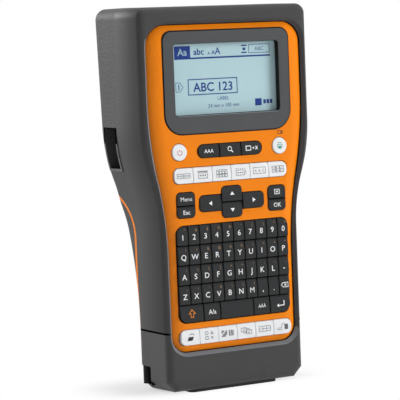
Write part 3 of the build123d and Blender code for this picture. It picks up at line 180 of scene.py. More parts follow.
# Letters: a capital's share of the font's size, steps in a curve, thickening, and those that stay plain
CAP_SHARE = 0.73
LETTER_STEPS = 3
LETTER_WEIGHT = 0.009
DISPLAY_WEIGHT = 0.02
PLAIN_LETTERS = "M4"

# Camera, fitted to the photograph: its place, its angles in degrees, its lens and sensor in millimetres
CAMERA_PLACE = (-0.6371, KEY_PLANE - 1.0755, 0.2211)
CAMERA_YAW = 29.7140
CAMERA_PITCH = -4.6621
CAMERA_ROLL = -2.2033
LENS = 181.14
SENSOR = 36.0

# Studio: what the lamps look at, their places, the sky's light and the paper floor with its soft shadow
LAMP_TARGET = (0, 0, 0.13)
FRONT_LAMP = (1.3, -1.2, 0.7)
REAR_LEFT_LAMP = (-0.9, 1.3, 0.8)
TOP_LAMP = (0.2, -0.1, 1.7)
SKY_LIGHT = 0.15
WHITE = (1, 1, 1, 1)
FLOOR_HALF = 3.0
FLOOR_COLOUR = (0.86, 0.86, 0.86, 1)
NEAR_WHITE = 0.5
SHADOW_REACH = 42 * MM
SHADOW_SHIFT = (-4 * MM, 10 * MM, 0)


def srgb(red, green, blue):
    """Linear colour of a display colour given in 0 to 255."""
    share = np.array([red, green, blue]) / 255
    linear = np.where(share <= 0.04045, share / 12.92, ((share + 0.055) / 1.055) ** 2.4)
    return (*linear.tolist(), 1.0)


class Value:
    """A shader value. Python's operators on it add Math nodes."""

    def __init__(self, nodes, socket):
        self.nodes = nodes
        self.socket = socket

    def math(self, operation, first, second):
        """Math node on two values or numbers."""
        return self.nodes.node("ShaderNodeMath", {"operation": operation}, {0: first, 1: second})

    def __add__(self, other):
        return self.math("ADD", self, other)

    __radd__ = __add__

    def __sub__(self, other):
        return self.math("SUBTRACT", self, other)

    def __rsub__(self, other):
        return self.math("SUBTRACT", other, self)

    def __mul__(self, other):
        return self.math("MULTIPLY", self, other)

    __rmul__ = __mul__

    def __gt__(self, other):
        return self.math("GREATER_THAN", self, other)

    def __lt__(self, other):
        return self.math("LESS_THAN", self, other)

    def larger(self, other):
        """The larger of two values."""
        return self.math("MAXIMUM", self, other)


class Nodes:
    """A node tree, whose sockets take numbers or values."""

    def __init__(self, tree):
        self.tree = tree

    def feed(self, socket, value):
        """Link a value to a socket, or set the socket to a number or a colour."""
        if isinstance(value, Value):
            self.tree.links.new(value.socket, socket)
        else:
            socket.default_value = value

    def node(self, kind, settings=None, inputs=None, output=0):
        """Any node: its type, its settings, then the values or links of its sockets."""
        node = self.tree.nodes.new(kind)
        for name, value in (settings or {}).items():
            setattr(node, name, value)
        for name, value in (inputs or {}).items():
            self.feed(node.inputs[name], value)
        return Value(self, node.outputs[output])

    def vector(self, operation, *inputs, output=0):
        """Vector Math on places or numbers."""
        return self.node("ShaderNodeVectorMath", {"operation": operation}, dict(enumerate(inputs)), output)

    def seen(self):
        """1 for a ray from the camera, from a reflection or through glass, and 0 for light that spreads."""
        kinds = ("Is Camera Ray", "Is Glossy Ray", "Is Transmission Ray")
        straight, mirrored, through = [self.node("ShaderNodeLightPath", output=kind) for kind in kinds]
        return straight.larger(mirrored).larger(through)


class Finish(Nodes):
    """One material: a Principled shader, whose sockets take numbers or values."""

    def __init__(self, name, **constants):
        self.material = bpy.data.materials.new(name)
        self.material.use_nodes = True
        super().__init__(self.material.node_tree)
        self.shader = self.tree.nodes["Principled BSDF"]
        self.set(**constants)

    def set(self, **sockets):
        """Feed the shader's sockets by their names, with underscores for spaces."""
        for name, value in sockets.items():
            self.feed(self.shader.inputs[name.replace("_", " ")], value)

    def place(self):
        """Place on the object, in metres."""
        return self.node("ShaderNodeTexCoord", output="Object")

    def along(self, axis):
        """Place along one axis, in metres."""
        return self.node("ShaderNodeSeparateXYZ", None, {0: self.place()}, output=axis)

    def noise(self, scale, detail):
        """Cloudy value from 0 to 1, with about this many lumps in a metre."""
        sockets = {"Vector": self.place(), "Scale": scale, "Detail": detail}
        return self.node("ShaderNodeTexNoise", None, sockets)

    def blend(self, share, low, high):
        """Colour that runs from one to another as the share goes from 0 to 1."""
        sockets = {"Factor": share, 6: low, 7: high}
        return self.node("ShaderNodeMix", {"data_type": "RGBA"}, sockets, output=2)

    def bump(self, height, distance, under=None):
        """Normal of a surface that rises and falls by a distance in metres, on top of another normal."""
        sockets = {"Height": height, "Distance": distance, "Strength": 1.0}
        if under is not None:
            sockets["Normal"] = under
        return self.node("ShaderNodeBump", None, sockets)

    def swell(self, crease, front, lean):
        """Normal of a wall that curves away in front of a crease: it falls by the square of the way."""
        depth = crease - front
        share = (crease - self.along("Y")).larger(0.0) * (1 / depth)
        return self.bump(share * share * (-lean * depth / 2), 1.0)


def tint(colour, share):
    """Colour made lighter or darker by a share of itself."""
    return (*[min(1.0, part * share) for part in colour[:3]], 1.0)


def moulded(name, colour, roughness, grain=2600.0, relief=0.06 * MM, mottle=0.10, swell=None, sheen=SHEEN):
    """Moulded plastic: fine grain in the surface, faint clouds in its colour and its gloss."""
    finish = Finish(name, Specular_IOR_Level=sheen)
    under = finish.swell(*swell) if swell else None
    clouds = finish.noise(scale=CLOUDS, detail=CLOUD_DETAIL)
    pores = finish.noise(scale=grain, detail=1.0)
    finish.set(
        Base_Color=finish.blend(clouds, tint(colour, 1 - mottle), tint(colour, 1 + mottle)),
        Roughness=roughness + CLOUD_GLOSS * (clouds - 0.5),
        Normal=finish.bump(pores, relief, under),
    )
    return finish.material


def metal(name, colour, roughness, brush=900.0, dark=0.85, light=1.1):
    """Worked metal: faint brushed lines across it, darker and lighter by turns."""
    finish = Finish(name, Metallic=1.0)
    scale = (brush, brush, brush * BRUSH_STRETCH)
    stretched = finish.node("ShaderNodeMapping", None, {"Vector": finish.place(), "Scale": scale})
    lines = finish.node("ShaderNodeTexNoise", None, {"Vector": stretched, "Scale": 1.0, "Detail": 2.0})
    finish.set(
        Base_Color=finish.blend(lines, tint(colour, dark), tint(colour, light)),
        Roughness=roughness + BRUSH_GLOSS * (lines - 0.5),
        Normal=finish.bump(lines, BRUSH_RELIEF),
    )
    return finish.material


def ink(name, colour, worn=0.93):
    """Printed ink: even colour, slightly worn in places."""
    finish = Finish(name, Roughness=0.5)
    wear = finish.noise(scale=900.0, detail=3.0)
    finish.set(Base_Color=finish.blend(wear, tint(colour, worn), colour))
    return finish.material


def display(shaded=0.985):
    """Display: pale liquid crystal with a fine grid of cells, lit a little from behind."""
    colour = srgb(185, 217, 224)
    finish = Finish("display_glass", Roughness=0.35, Emission_Strength=0.12)
    sockets = {"Vector": finish.place(), "Scale": DISPLAY_CELLS}
    cells = finish.node("ShaderNodeTexChecker", None, sockets, output="Fac")
    shade = finish.blend(cells, tint(colour, shaded), colour)
    finish.set(Base_Color=shade, Emission_Color=shade)
    return finish.material


def window(clean=0.04, smear=0.08):
    """Clear window: nearly all light passes, and faint smears lie in its gloss."""
    finish = Finish("clear_window", Base_Color=(0.02, 0.02, 0.02, 1), Alpha=0.05)
    finish.set(Roughness=clean + smear * finish.noise(scale=60.0, detail=3.0))
    return finish.material


def cell_sleeve():
    """Cell: grey sleeve with a pale band below its upper end, and bare metal at both ends."""
    low, high = [corner[2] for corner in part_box("battery_cells")]
    top = high - CELL_NUB
    finish = Finish("cell_sleeve", Roughness=0.3)
    height = finish.along("Z")
    band = height > top - CELL_BAND
    bare = (height > top - CELL_RIM).larger(height < low + CELL_RIM)
    sleeve = finish.blend(band, srgb(86, 92, 98), srgb(186, 190, 192))
    finish.set(Base_Color=finish.blend(bare, sleeve, srgb(190, 191, 194)), Metallic=bare)
    return finish.material


CASING = srgb(70, 70, 71)
ORANGE = srgb(243, 133, 14)
smooth_edge = {"roughness": 0.36, "grain": 3000.0, "relief": 0.02 * MM, "mottle": 0.04}
finishes = {
    "casing": moulded("casing_plastic", CASING, 0.5, grain=1500.0, relief=0.10 * MM),
    "orange": moulded("orange_plastic", ORANGE, 0.42, grain=3000.0, relief=0.02 * MM, mottle=0.03),
    "bezel": moulded("bezel_plastic", srgb(79, 81, 83), 0.5, grain=2400.0, relief=0.05 * MM),
    "window": window(),
    "display": display(),
    "dark_key": moulded("dark_key_rubber", srgb(46, 47, 48), 0.55, grain=3200.0, relief=0.03 * MM),
    "white_key": moulded(
        "white_key_rubber", srgb(236, 238, 240), 0.5, grain=3200.0, relief=0.02 * MM, mottle=0.02
    ),
    # Near black: the membrane's rubber, made dark as painted shade in the gaps between keys; also painted
    # shade in the screen opening, round the bezel and in the strap notch
    "membrane": moulded("membrane_rubber", srgb(14, 14, 15), 0.7),
    "circuit_board": moulded("board_lacquer", srgb(26, 92, 50), 0.3, grain=900.0, relief=0.03 * MM),
    "cell_jacket": cell_sleeve(),
    "steel": metal("plain_steel", srgb(190, 191, 194), 0.32),
    "heat_sink": metal("heat_sink_metal", srgb(196, 198, 202), 0.38, brush=1400.0),
    "gear_plastic": moulded("gear_plastic", srgb(226, 224, 214), 0.45),
    "rubber": moulded("grey_rubber", srgb(56, 56, 57), 0.75, grain=1800.0, relief=0.08 * MM),
    "cassette": moulded("cassette_plastic", srgb(112, 114, 118), 0.45),
    "tape": moulded("tape_roll", srgb(238, 238, 234), 0.4, grain=5000.0, relief=0.02 * MM, mottle=0.03),
    "ribbon": moulded("ribbon_film", srgb(20, 20, 22), 0.25, grain=5000.0, relief=0.01 * MM),
    # Paler colour on the bevel beside the face plate and under the screen opening: a painted highlight
    "lip": moulded("smooth_casing_edge", srgb(118, 126, 131), **smooth_edge),
    # Paler colour on the rim of the tape exit: a painted highlight
    "rim": moulded("smooth_exit_rim", srgb(92, 92, 93), **smooth_edge),
    "seam": moulded("seam_shadow", srgb(8, 8, 8), 0.9, sheen=0.0),
}
inks = {
    "white_ink": ink("white_ink", srgb(244, 245, 246)),
    "orange_ink": ink("orange_ink", srgb(216, 128, 40)),
    "tan_ink": ink("tan_ink", srgb(150, 118, 84)),
    "grey_ink": ink("grey_ink", srgb(96, 100, 106)),
    "blue_ink": ink("blue_ink", srgb(8, 56, 146)),
    "pale_ink": ink("pale_ink", srgb(172, 204, 214)),
    "teal_ink": ink("teal_ink", srgb(70, 150, 140)),
    "red_ink": ink("red_ink", srgb(196, 84, 60)),
    "black_ink": ink("black_ink", srgb(40, 36, 34)),
}

# Finishes of the CAD nodes: each slot's own, but the casing's shells differ in grain
wall = (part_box("rear_case")[0][1], KEY_PLANE, SIDE_SWELL)
swollen = moulded("front_casing_plastic", CASING, 0.46, grain=1500.0, relief=0.10 * MM, swell=wall)
textured = moulded("rear_casing_plastic", CASING, 0.55, grain=650.0, relief=0.22 * MM)
own_finish = {"front_case": swollen, "rear_case": textured, "rear_cover": textured}
slot_of = {entry["node"]: entry["material_slot"] for entry in frame["record"]["subparts"]}
for name, slot in slot_of.items():
    coat = frame["nodes"][name].data.materials
    coat.clear()
    coat.append(own_finish.get(name, finishes[slot]))


def in_scene(name, data):
    """New object with its data, in the scene."""
    made = bpy.data.objects.new(name, data)
    bpy.context.scene.collection.objects.link(made)
    return made


def piece(name, points, faces, material, body, slot, smooth=False):
    """Object whose mesh holds its place, carried by a body."""
    mesh = bpy.data.meshes.new(name)
    mesh.from_pydata(points, [], faces)
    mesh.materials.append(material)
    mesh.polygons.foreach_set("use_smooth", np.full(len(mesh.polygons), smooth))
    mesh.update()
    made = in_scene(name, mesh)
    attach(made, body)
    return made


def unit(vectors):
    """Vectors made one long."""
    return vectors / np.linalg.norm(vectors, axis=-1, keepdims=True)


def gathered(parts):
    """Several meshes as one list of points and one list of faces."""
    points, faces, offset = [], [], 0
    for part_points, part_faces in parts:
        points.append(part_points)
        faces.extend([[index + offset for index in face] for face in part_faces])
        offset += len(part_points)
    return np.concatenate(points), faces


def box_of(node):
    """Lowest and highest corner of a node, as arrays."""
    low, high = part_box(node)
    return np.array(low), np.array(high)


def front_middle(low, high):
    """Middle of a box's front, in x and z."""
    return (low[0] + high[0]) / 2, (low[2] + high[2]) / 2


def middle_of(node):
    """Middle of a node's front, in x and z."""
    return front_middle(*box_of(node))


def side_line(ends, radii, heights, outward):
    """One side of a rounded rectangle: x at each height, drawn in by a quarter circle near either end."""
    x, low, high = ends
    below = np.clip(1 - (heights - low) / radii[0], 0, 1)
    above = np.clip(1 - (high - heights) / radii[1], 0, 1)
    drawn_in = radii[0] * (1 - np.sqrt(1 - below**2)) + radii[1] * (1 - np.sqrt(1 - above**2))
    return x - outward * drawn_in


def outline_ring(low, high, corners, inset, steps=RING_STEPS):
    """Rounded rectangle pulled in by an inset: down its left side, then up its right side."""
    radii = np.maximum(np.asarray(corners) - inset, LEAST_CORNER)
    low, high = low + inset, high - inset
    heights = low[1] + (high[1] - low[1]) * (1 - np.cos(np.linspace(0, np.pi, steps))) / 2
    left = side_line((low[0], low[1], high[1]), radii[[0, 3]], heights, -1)
    right = side_line((high[0], low[1], high[1]), radii[[1, 2]], heights, 1)
    return np.concatenate([np.stack([left, heights], axis=1)[::-1], np.stack([right, heights], axis=1)])


def key_fall(z, low, high):
    """How far a key's top falls back at a height: level below the middle, a smooth fall above it."""
    share = np.clip((z - (low + high) / 2) / ((high - low) / 2), 0, 1)
    return KEY_FALL * share**FALL_POWER


def key_cap(low, high, corners):
    """Key from foot to top: the outline carried along a profile of insets and depths.

    The profile runs up the side and round a quarter circle at the edge. The top joins the outline's
    left and right side at each height, and its upper half falls back.
    """
    turn = np.linspace(0, np.pi / 2, EDGE_STEPS)
    insets = np.concatenate([[0], CAP_EDGE * (1 - np.cos(turn))])
    depths = np.concatenate([[high[1] - low[1]], CAP_TOP_DEPTH + CAP_EDGE * (1 - np.sin(turn))])
    flat_low, flat_high = low[[0, 2]], high[[0, 2]]
    rings = np.stack([outline_ring(flat_low, flat_high, corners, inset) for inset in insets])
    count = rings.shape[1]
    levels = low[1] + depths[:, None] + key_fall(rings[..., 1], low[2], high[2])
    levels[0] = high[1]
    points = np.stack([rings[..., 0], levels, rings[..., 1]], axis=-1).reshape(-1, 3)
    start = np.arange(len(insets) - 1)[:, None] * count
    here = np.arange(count)
    after = np.roll(here, -1)
    walls = np.stack([start + here, start + after, start + count + after, start + count + here], axis=-1)
    rung = np.arange(RING_STEPS - 1)
    ladder = np.stack([rung, rung + 1, count - 2 - rung, count - 1 - rung], axis=-1)
    top = ladder + (len(insets) - 1) * count
    return points, [*walls.reshape(-1, 4).tolist(), *top.tolist(), *ladder[:, ::-1].tolist()]


def cap_piece(node, cells):
    """Caps of one node, in place of its plain solid."""
    points, faces = gathered([key_cap(low, high, corners) for low, high, corners in cells])
    slot = slot_of[node]
    cap = piece(f"{node}_cap", points, faces, finishes[slot], node, slot, smooth=True)
    edges = cap.modifiers.new("crisp", "WEIGHTED_NORMAL")
    edges.keep_sharp = True
    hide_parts(node)


def corners_of(lower_left=KEY_CORNER, lower_right=KEY_CORNER, upper_right=KEY_CORNER, upper_left=KEY_CORNER):
    """Corner rounds of a key, going round from its lower left."""
    return (lower_left, lower_right, upper_right, upper_left)


def row_cells(node):
    """Each key's low and high corner in a row of like keys."""
    low, high = box_of(node)
    pitch = (high[0] - low[0] + KEY_GAP) / ROW_KEYS
    steps = np.arange(ROW_KEYS) * pitch
    lows = np.tile(low, (ROW_KEYS, 1))
    highs = np.tile(high, (ROW_KEYS, 1))
    lows[:, 0] = low[0] + steps
    highs[:, 0] = low[0] + steps + pitch - KEY_GAP
    return list(zip(lows, highs))


# Rows of like keys: their letters and small marks, then their caps
row_marks = {
    "number_keys": ("1234567890", "\"#$%&'()*+"),
    "top_letter_keys": ("QWERTYUIOP", "!?&@#%/+=*"),
    "middle_letter_keys": ("ASDFGHJKL-", "()[]<>\":;_"),
    "bottom_letter_keys": ("ZXCVBNM,. ", "~^'$|{}`  "),
}
for row in row_marks:
    rounds = [corners_of()] * ROW_KEYS
    if row == "number_keys":
        rounds[0] = corners_of(upper_left=KEYBOARD_CORNER)
        rounds[-1] = corners_of(upper_right=KEYBOARD_CORNER)
    cap_piece(row, [(*cell, corners) for cell, corners in zip(row_cells(row), rounds)])

# Caps of the keys that stand alone
upper_pair = corners_of(upper_left=SIDE_CORNER, upper_right=SIDE_CORNER)
lower_pair = corners_of(lower_left=SIDE_CORNER, lower_right=SIDE_CORNER)
round_key = (ROUND_CORNER,) * 4
single_keys = {
    "shift_key": corners_of(lower_left=KEYBOARD_CORNER),
    "caps_key": corners_of(),
    "space_key": corners_of(),
    "accent_key": corners_of(),
    "enter_key": corners_of(lower_right=KEYBOARD_CORNER),
    "left_function_key": corners_of(lower_left=FUNCTION_CORNER, upper_left=FUNCTION_CORNER),
    "middle_function_key": corners_of(),
    "right_function_key": corners_of(lower_right=FUNCTION_CORNER, upper_right=FUNCTION_CORNER),
    "power_key": round_key,
    "print_key": round_key,
    "menu_key": upper_pair,
    "preview_key": upper_pair,
    "escape_key": lower_pair,
    "ok_key": lower_pair,
    "up_key": corners_of(upper_left=ARROW_CORNER, upper_right=ARROW_CORNER),
    "down_key": corners_of(lower_left=ARROW_CORNER, lower_right=ARROW_CORNER),
    "left_key": corners_of(lower_left=ARROW_CORNER, upper_left=ARROW_CORNER),
    "right_key": corners_of(lower_right=ARROW_CORNER, upper_right=ARROW_CORNER),
}
for name, corners in single_keys.items():
    cap_piece(name, [(*box_of(name), corners)])

# Caps of the two strips of quick keys, which are round at the strip's ends and lie closer than their solids
UPPER_STRIP = "upper_quick_key_"
LOWER_STRIP = "lower_quick_key_"
left_end = corners_of(lower_left=STRIP_CORNER, upper_left=STRIP_CORNER)
right_end = corners_of(lower_right=STRIP_CORNER, upper_right=STRIP_CORNER)
for strip in (UPPER_STRIP, LOWER_STRIP):
    for number in range(1, STRIP_KEYS + 1):
        low, high = box_of(f"{strip}{number}")
        low[0] -= 0.0 if number == 1 else STRIP_CLOSER
        high[0] += 0.0 if number == STRIP_KEYS else STRIP_CLOSER
        corners = {1: left_end, STRIP_KEYS: right_end}.get(number, corners_of())
        cap_piece(f"{strip}{number}", [(low, high, corners)])


# Marks: flat shapes in x and z, in millimetres about a middle, each a list of points and faces
def panel(left, bottom, right, top):
    """Filled rectangle."""
    return np.array([[left, bottom], [right, bottom], [right, top], [left, top]]), [[0, 1, 2, 3]]


def ribbon(points, width, closed):
    """Line through points: half a width to either side, with mitred corners and square ends."""
    points = np.asarray(points, dtype=float)
    runs = unit(np.roll(points, -1, axis=0) - points)
    before = np.roll(runs, 1, axis=0)
    if not closed:
        before[0], runs[-1] = runs[0], before[-1]
    across = np.stack([-runs[:, 1], runs[:, 0]], axis=1)
    across_before = np.stack([-before[:, 1], before[:, 0]], axis=1)
    mitre = across + across_before
    mitre = mitre / (mitre * across).sum(axis=1, keepdims=True) * width / 2
    here = np.arange(len(points) if closed else len(points) - 1)
    after = (here + 1) % len(points)
    faces = np.stack([here + len(points), after + len(points), after, here], axis=1)
    return np.concatenate([points + mitre, points - mitre]), faces.tolist()


def stroke(*points, width=LINE):
    """Open line through points."""
    return ribbon(points, width, False)


def loop(*points, width=LINE):
    """Closed line through points."""
    return ribbon(points, width, True)


def frame_line(left, bottom, right, top, width=LINE):
    """Outline of a rectangle."""
    return loop((left, bottom), (right, bottom), (right, top), (left, top), width=width)


def frames_at(middles, half_width, half_height, width):
    """Outlines of like rectangles about their middles."""
    return [
        frame_line(x - half_width, z - half_height, x + half_width, z + half_height, width)
        for x, z in middles
    ]


def dashes(left, right, z, count, height):
    """Row of short bars, as small print."""
    edges = np.linspace(left, right, 2 * count)
    return [panel(first, z - height / 2, last, z + height / 2) for first, last in edges.reshape(-1, 2)]


def shape(*points):
    """Filled outline, its points going round leftwards."""
    return np.array(points, dtype=float), [list(range(len(points)))]


def arc(middle, radius, start, end, width=LINE, steps=20):
    """Part of a ring about a middle, from one angle to another in degrees."""
    turns = np.radians(np.linspace(start, end, steps))
    rays = np.stack([np.cos(turns), np.sin(turns)], axis=1)
    inner = np.asarray(middle) + (radius - width / 2) * rays
    outer = np.asarray(middle) + (radius + width / 2) * rays
    here = np.arange(steps - 1)
    faces = np.stack([here, here + steps, here + steps + 1, here + 1], axis=1)
    return np.concatenate([inner, outer]), faces.tolist()


def words(text, height, weight=LETTER_WEIGHT):
    """Letters of a height, centred, as filled outlines."""
    curve = bpy.data.curves.new("letters", "FONT")
    curve.body = text
    curve.align_x = "CENTER"
    curve.resolution_u = LETTER_STEPS
    curve.offset = 0.0 if set(text) & set(PLAIN_LETTERS) else weight
    holder = bpy.data.objects.new("letters", curve)
    mesh = bpy.data.meshes.new_from_object(holder)
    flat = np.empty(3 * len(mesh.vertices))
    mesh.vertices.foreach_get("co", flat)
    faces = [list(face.vertices) for face in mesh.polygons]
    points = flat.reshape(-1, 3)[:, :2] * height / CAP_SHARE
    bpy.data.objects.remove(holder)
    bpy.data.curves.remove(curve)
    bpy.data.meshes.remove(mesh)
    middle = (points[:, 0].min() + points[:, 0].max()) / 2
    return points - (middle, height / 2), faces


def moved(mark, x, z):
    """Mark carried to a place, in millimetres."""
    points, faces = mark
    return points + (x, z), faces


marks = {}


def print_on(body, colour, *drawn, at, depth=0.0):
    """Keep marks for a body and a colour, at a depth behind the key tops, or on a key's own top."""
    kept = marks.setdefault((body, colour, depth), [])
    kept.extend((points * MM + at, faces) for points, faces in drawn)


def mark_key(node, colour, *drawn):
    """Keep marks for the middle of a key."""
    print_on(node, colour, *drawn, at=middle_of(node))


# Character keys
for row, (letters, small_marks) in row_marks.items():
    for cell, letter, small in zip(row_cells(row), letters, small_marks):
        if letter != " ":
            large_mark = moved(words(letter, LETTER_HEIGHT), 0, -LETTER_DROP)
            print_on(row, "white_ink", large_mark, at=front_middle(*cell))
        if small != " ":
            small_mark = moved(words(small, SMALL_MARK_HEIGHT), SMALL_MARK_SHIFT, SMALL_MARK_RISE)
            print_on(row, "tan_ink", small_mark, at=front_middle(*cell))

# Erase key: a tag with a cross in it
tag = loop((-2.6, 0), (-1.2, -1.4), (2.4, -1.4), (2.4, 1.4), (-1.2, 1.4))
cross = [stroke((-0.3, side * 0.7), (1.1, -side * 0.7)) for side in (-1, 1)]
erase_cell = row_cells("bottom_letter_keys")[-1]
print_on("bottom_letter_keys", "white_ink", tag, *cross, at=front_middle(*erase_cell))

# Keys with words
for node, text, height in (
    ("caps_key", "A/a", 2.9),
    ("accent_key", "ÀÁÂ", 2.0),
    ("menu_key", "Menu", 2.7),
    ("escape_key", "Esc", 2.8),
    ("ok_key", "OK", 2.7),
    ("left_function_key", "AAA", 2.4),
):
    mark_key(node, "white_ink", words(text, height))

# Shift: an outlined arrow. Enter: a bent arrow
shift_sign = [(-0.9, -2.2), (0.9, -2.2), (0.9, 0.1), (2.1, 0.1), (0, 2.5), (-2.1, 0.1), (-0.9, 0.1)]
mark_key("shift_key", "orange_ink", loop(*shift_sign, width=BOLD))
enter_line = stroke((2.6, 2.0), (2.6, -1.0), (-1.6, -1.0), width=0.6)
enter_head = shape((-2.8, -1.0), (-1.2, -2.2), (-1.2, 0.2))
mark_key("enter_key", "white_ink", enter_line, enter_head)

# Arrow keys: one triangle, turned
triangle = np.array([(0, 1.3), (-1.5, -0.9), (1.5, -0.9)])
for node, angle in (("up_key", 0), ("left_key", 90), ("down_key", 180), ("right_key", 270)):
    cosine, sine = np.cos(np.radians(angle)), np.sin(np.radians(angle))
    mark_key(node, "white_ink", shape(*triangle @ np.array([[cosine, sine], [-sine, cosine]])))

# Function keys: a magnifier, then a label with arrows. Preview key: a crossed frame
mark_key(
    "middle_function_key",
    "white_ink",
    arc((-0.5, 0.5), 1.3, 0, 360, BOLD),
    stroke((0.5, -0.5), (1.8, -1.8), width=0.7),
)
mark_key(
    "right_function_key",
    "white_ink",
    frame_line(-4.2, -1.3, -0.8, 1.3, BOLD),
    stroke((0.4, 0), (1.8, 0), width=BOLD),
    stroke((1.1, -0.7), (1.1, 0.7), width=BOLD),
    stroke((2.6, -1.1), (4.2, 1.1), width=BOLD),
    stroke((2.6, 1.1), (4.2, -1.1), width=BOLD),
)
mark_key(
    "preview_key",
    "white_ink",
    frame_line(-1.8, -1.4, 1.8, 1.4),
    stroke((-1.0, -0.6), (1.0, 0.6)),
    stroke((-1.0, 0.6), (1.0, -0.6)),
)

# Power key and print key
mark_key("power_key", "red_ink", arc((0, -0.2), 1.6, 125, 415), stroke((0, 0.1), (0, 1.7)))
mark_key(
    "print_key",
    "teal_ink",
    frame_line(-1.7, -1.0, 1.7, 0.6, THIN),
    frame_line(-1.1, 0.6, 1.1, 1.9, THIN),
    panel(-1.1, -2.0, 1.1, -0.3),
)

# Upper quick keys: signs for kinds of label
upper_signs = [
    [
        frame_line(-4.6, -1.3, -0.3, 1.3, FINE),
        frame_line(0.3, -1.3, 4.6, 1.3, FINE),
        *dashes(-4.0, -0.9, 0, 3, 0.9),
        *dashes(0.9, 4.0, 0, 3, 0.9),
    ],
    [
        panel(-3.6, 1.7, 3.6, 2.3),
        frame_line(-3.2, -2.2, 3.2, 1.2, FINE),
        *dashes(-2.2, 2.2, -0.4, 4, 1.1),
    ],
    [
        stroke((-4.0, 2.1), (4.0, 2.1), width=FINE),
        *frames_at([(x, z) for x in (-3, -1, 1, 3) for z in (0.5, -1.5)], 0.8, 0.8, FINE),
    ],
    [
        *dashes(-3.6, 3.6, 2.0, 5, 0.4),
        frame_line(-3.4, -2.1, 2.6, 1.1, FINE),
        *dashes(-2.4, 1.6, -0.5, 3, 0.9),
        stroke((3.6, -1.6), (3.6, 1.1), width=FINE),
    ],
    [
        frame_line(-4.4, -1.9, 4.4, 1.9, FINE),
        *[moved(words(letter, 1.6, 0.0), x, 0) for letter, x in (("A", -2.8), ("B", 0), ("C", 2.8))],
    ],
    [
        *frames_at([(-3, 0), (0, 0), (3, 0)], 1.3, 1.9, FINE),
        stroke((-4.3, 0), (4.3, 0), width=FINE),
        *dashes(-3.6, 3.6, 1.0, 4, 0.4),
        *dashes(-3.6, 3.6, -1.0, 4, 0.4),
    ],
]
for number, drawn in enumerate(upper_signs, 1):
    mark_key(f"{UPPER_STRIP}{number}", "grey_ink", *drawn)

# Lower quick keys: folder, symbols, bar code, frames, tables and memory
checks = [(x, z) for x in range(4) for z in range(4) if (x * 3 + z * 5) % 4 != 1]
bars = ((0.6, 0.7), (1.7, 0.35), (2.4, 0.9), (3.7, 0.4))
lower_signs = [
    [
        shape((-2.2, -2.0), (1.4, -2.0), (2.4, 0.4), (-1.2, 0.4)),
        arc((1.2, 0.6), 1.6, 20, 150, THIN),
    ],
    [
        arc((-1.8, 1.5), 1.0, 0, 360, THIN),
        loop((1.0, 0.8), (2.8, 0.8), (1.9, 2.4), width=THIN),
        frame_line(-2.7, -2.4, -0.9, -0.6, THIN),
        stroke((1.0, -2.2), (2.8, -0.6), width=THIN),
        stroke((1.0, -0.6), (2.8, -2.2), width=THIN),
    ],
    [
        *[panel(x - 4.6, z - 2, x - 3.7, z - 1.1) for x, z in checks],
        *[panel(x, -1.8, x + wide, 1.8) for x, wide in bars],
    ],
    frames_at([(-1.8, 0.8), (0, 0), (1.8, -0.8)], 2.0, 1.2, FINE),
    [
        *[stroke((-4.2, z), (4.2, z), width=FINE) for z in (-1.6, 0, 1.6)],
        *[stroke((x, -1.6), (x, 1.6), width=FINE) for x in (-4.2, -1.4, 1.4, 4.2)],
    ],
    [
        *[stroke((-4.2, z), (-0.8, z), width=THIN) for z in (-1.8, -0.8)],
        arc((0.6, 0.2), 1.5, 60, 200, THIN),
        panel(1.2, -2.0, 3.8, 1.4),
    ],
]
for number, drawn in enumerate(lower_signs, 1):
    mark_key(f"{LOWER_STRIP}{number}", "black_ink" if number == 1 else "grey_ink", *drawn)

# Display: generic status line, a boxed label, its size and two small signs
screen_x, screen_z = middle_of("lcd_panel")
display_depth = box_of("lcd_panel")[0][1] - KEY_PLANE - DISPLAY_LIFT


def on_display(*drawn, x=0.0, z=0.0, colour="blue_ink", lift=0.0):
    """Marks on the display, placed in millimetres from its middle."""
    middle = (screen_x + x * MM, screen_z + z * MM)
    print_on("casing", colour, *drawn, at=middle, depth=display_depth - lift)


on_display(panel(-34.6, 12.4, 34.6, 13.4))
on_display(frame_line(19.0, 14.8, 34.2, 20, 0.35))
on_display(words("ABC", 2.6, 0.0), x=26.6, z=17.4)
on_display(panel(-34.6, 13.4, -23.2, 20.6))
on_display(words("Aa", 4.4, DISPLAY_WEIGHT), x=-28.9, z=17.0, colour="pale_ink", lift=DISPLAY_LIFT)
on_display(words("abc", 4.0, DISPLAY_WEIGHT), x=-17.2, z=17.0)
for index, height in enumerate((1.8, 2.8, 4.4)):
    on_display(words("A", height, 0.01), x=-10.0 + 3.2 * index, z=14.8 + height / 2)
on_display(*[stroke((13.6, z), (17.6, z), width=0.8) for z in (15.2, 19.6)])
on_display(panel(14.6, 16.6, 16.6, 18.2))
on_display(frame_line(-25.4, -9.6, 9.6, -0.2, 0.6))
on_display(words("ABC 123", 5.6, 0.016), x=-7.9, z=-4.9)
on_display(loop((-34.2, -7.4), (-31.2, -7.4), (-29.2, -4.6), (-31.2, -1.8), (-34.2, -1.8), width=0.35))
on_display(words("1", 3.6, DISPLAY_WEIGHT), x=-32.1, z=-4.6)
on_display(words("LABEL", 2.3, 0.0), x=-0.6, z=-12.4)
on_display(words("24 mm x 100 mm", 2.3, 0.0), x=-0.6, z=-16.8)
on_display(panel(22.4, -18.4, 27.2, -14.0))
on_display(*[panel(x - 0.9, -17.4, x + 0.9, -14.8) for x in (29.4, 31.8, 34.2)])


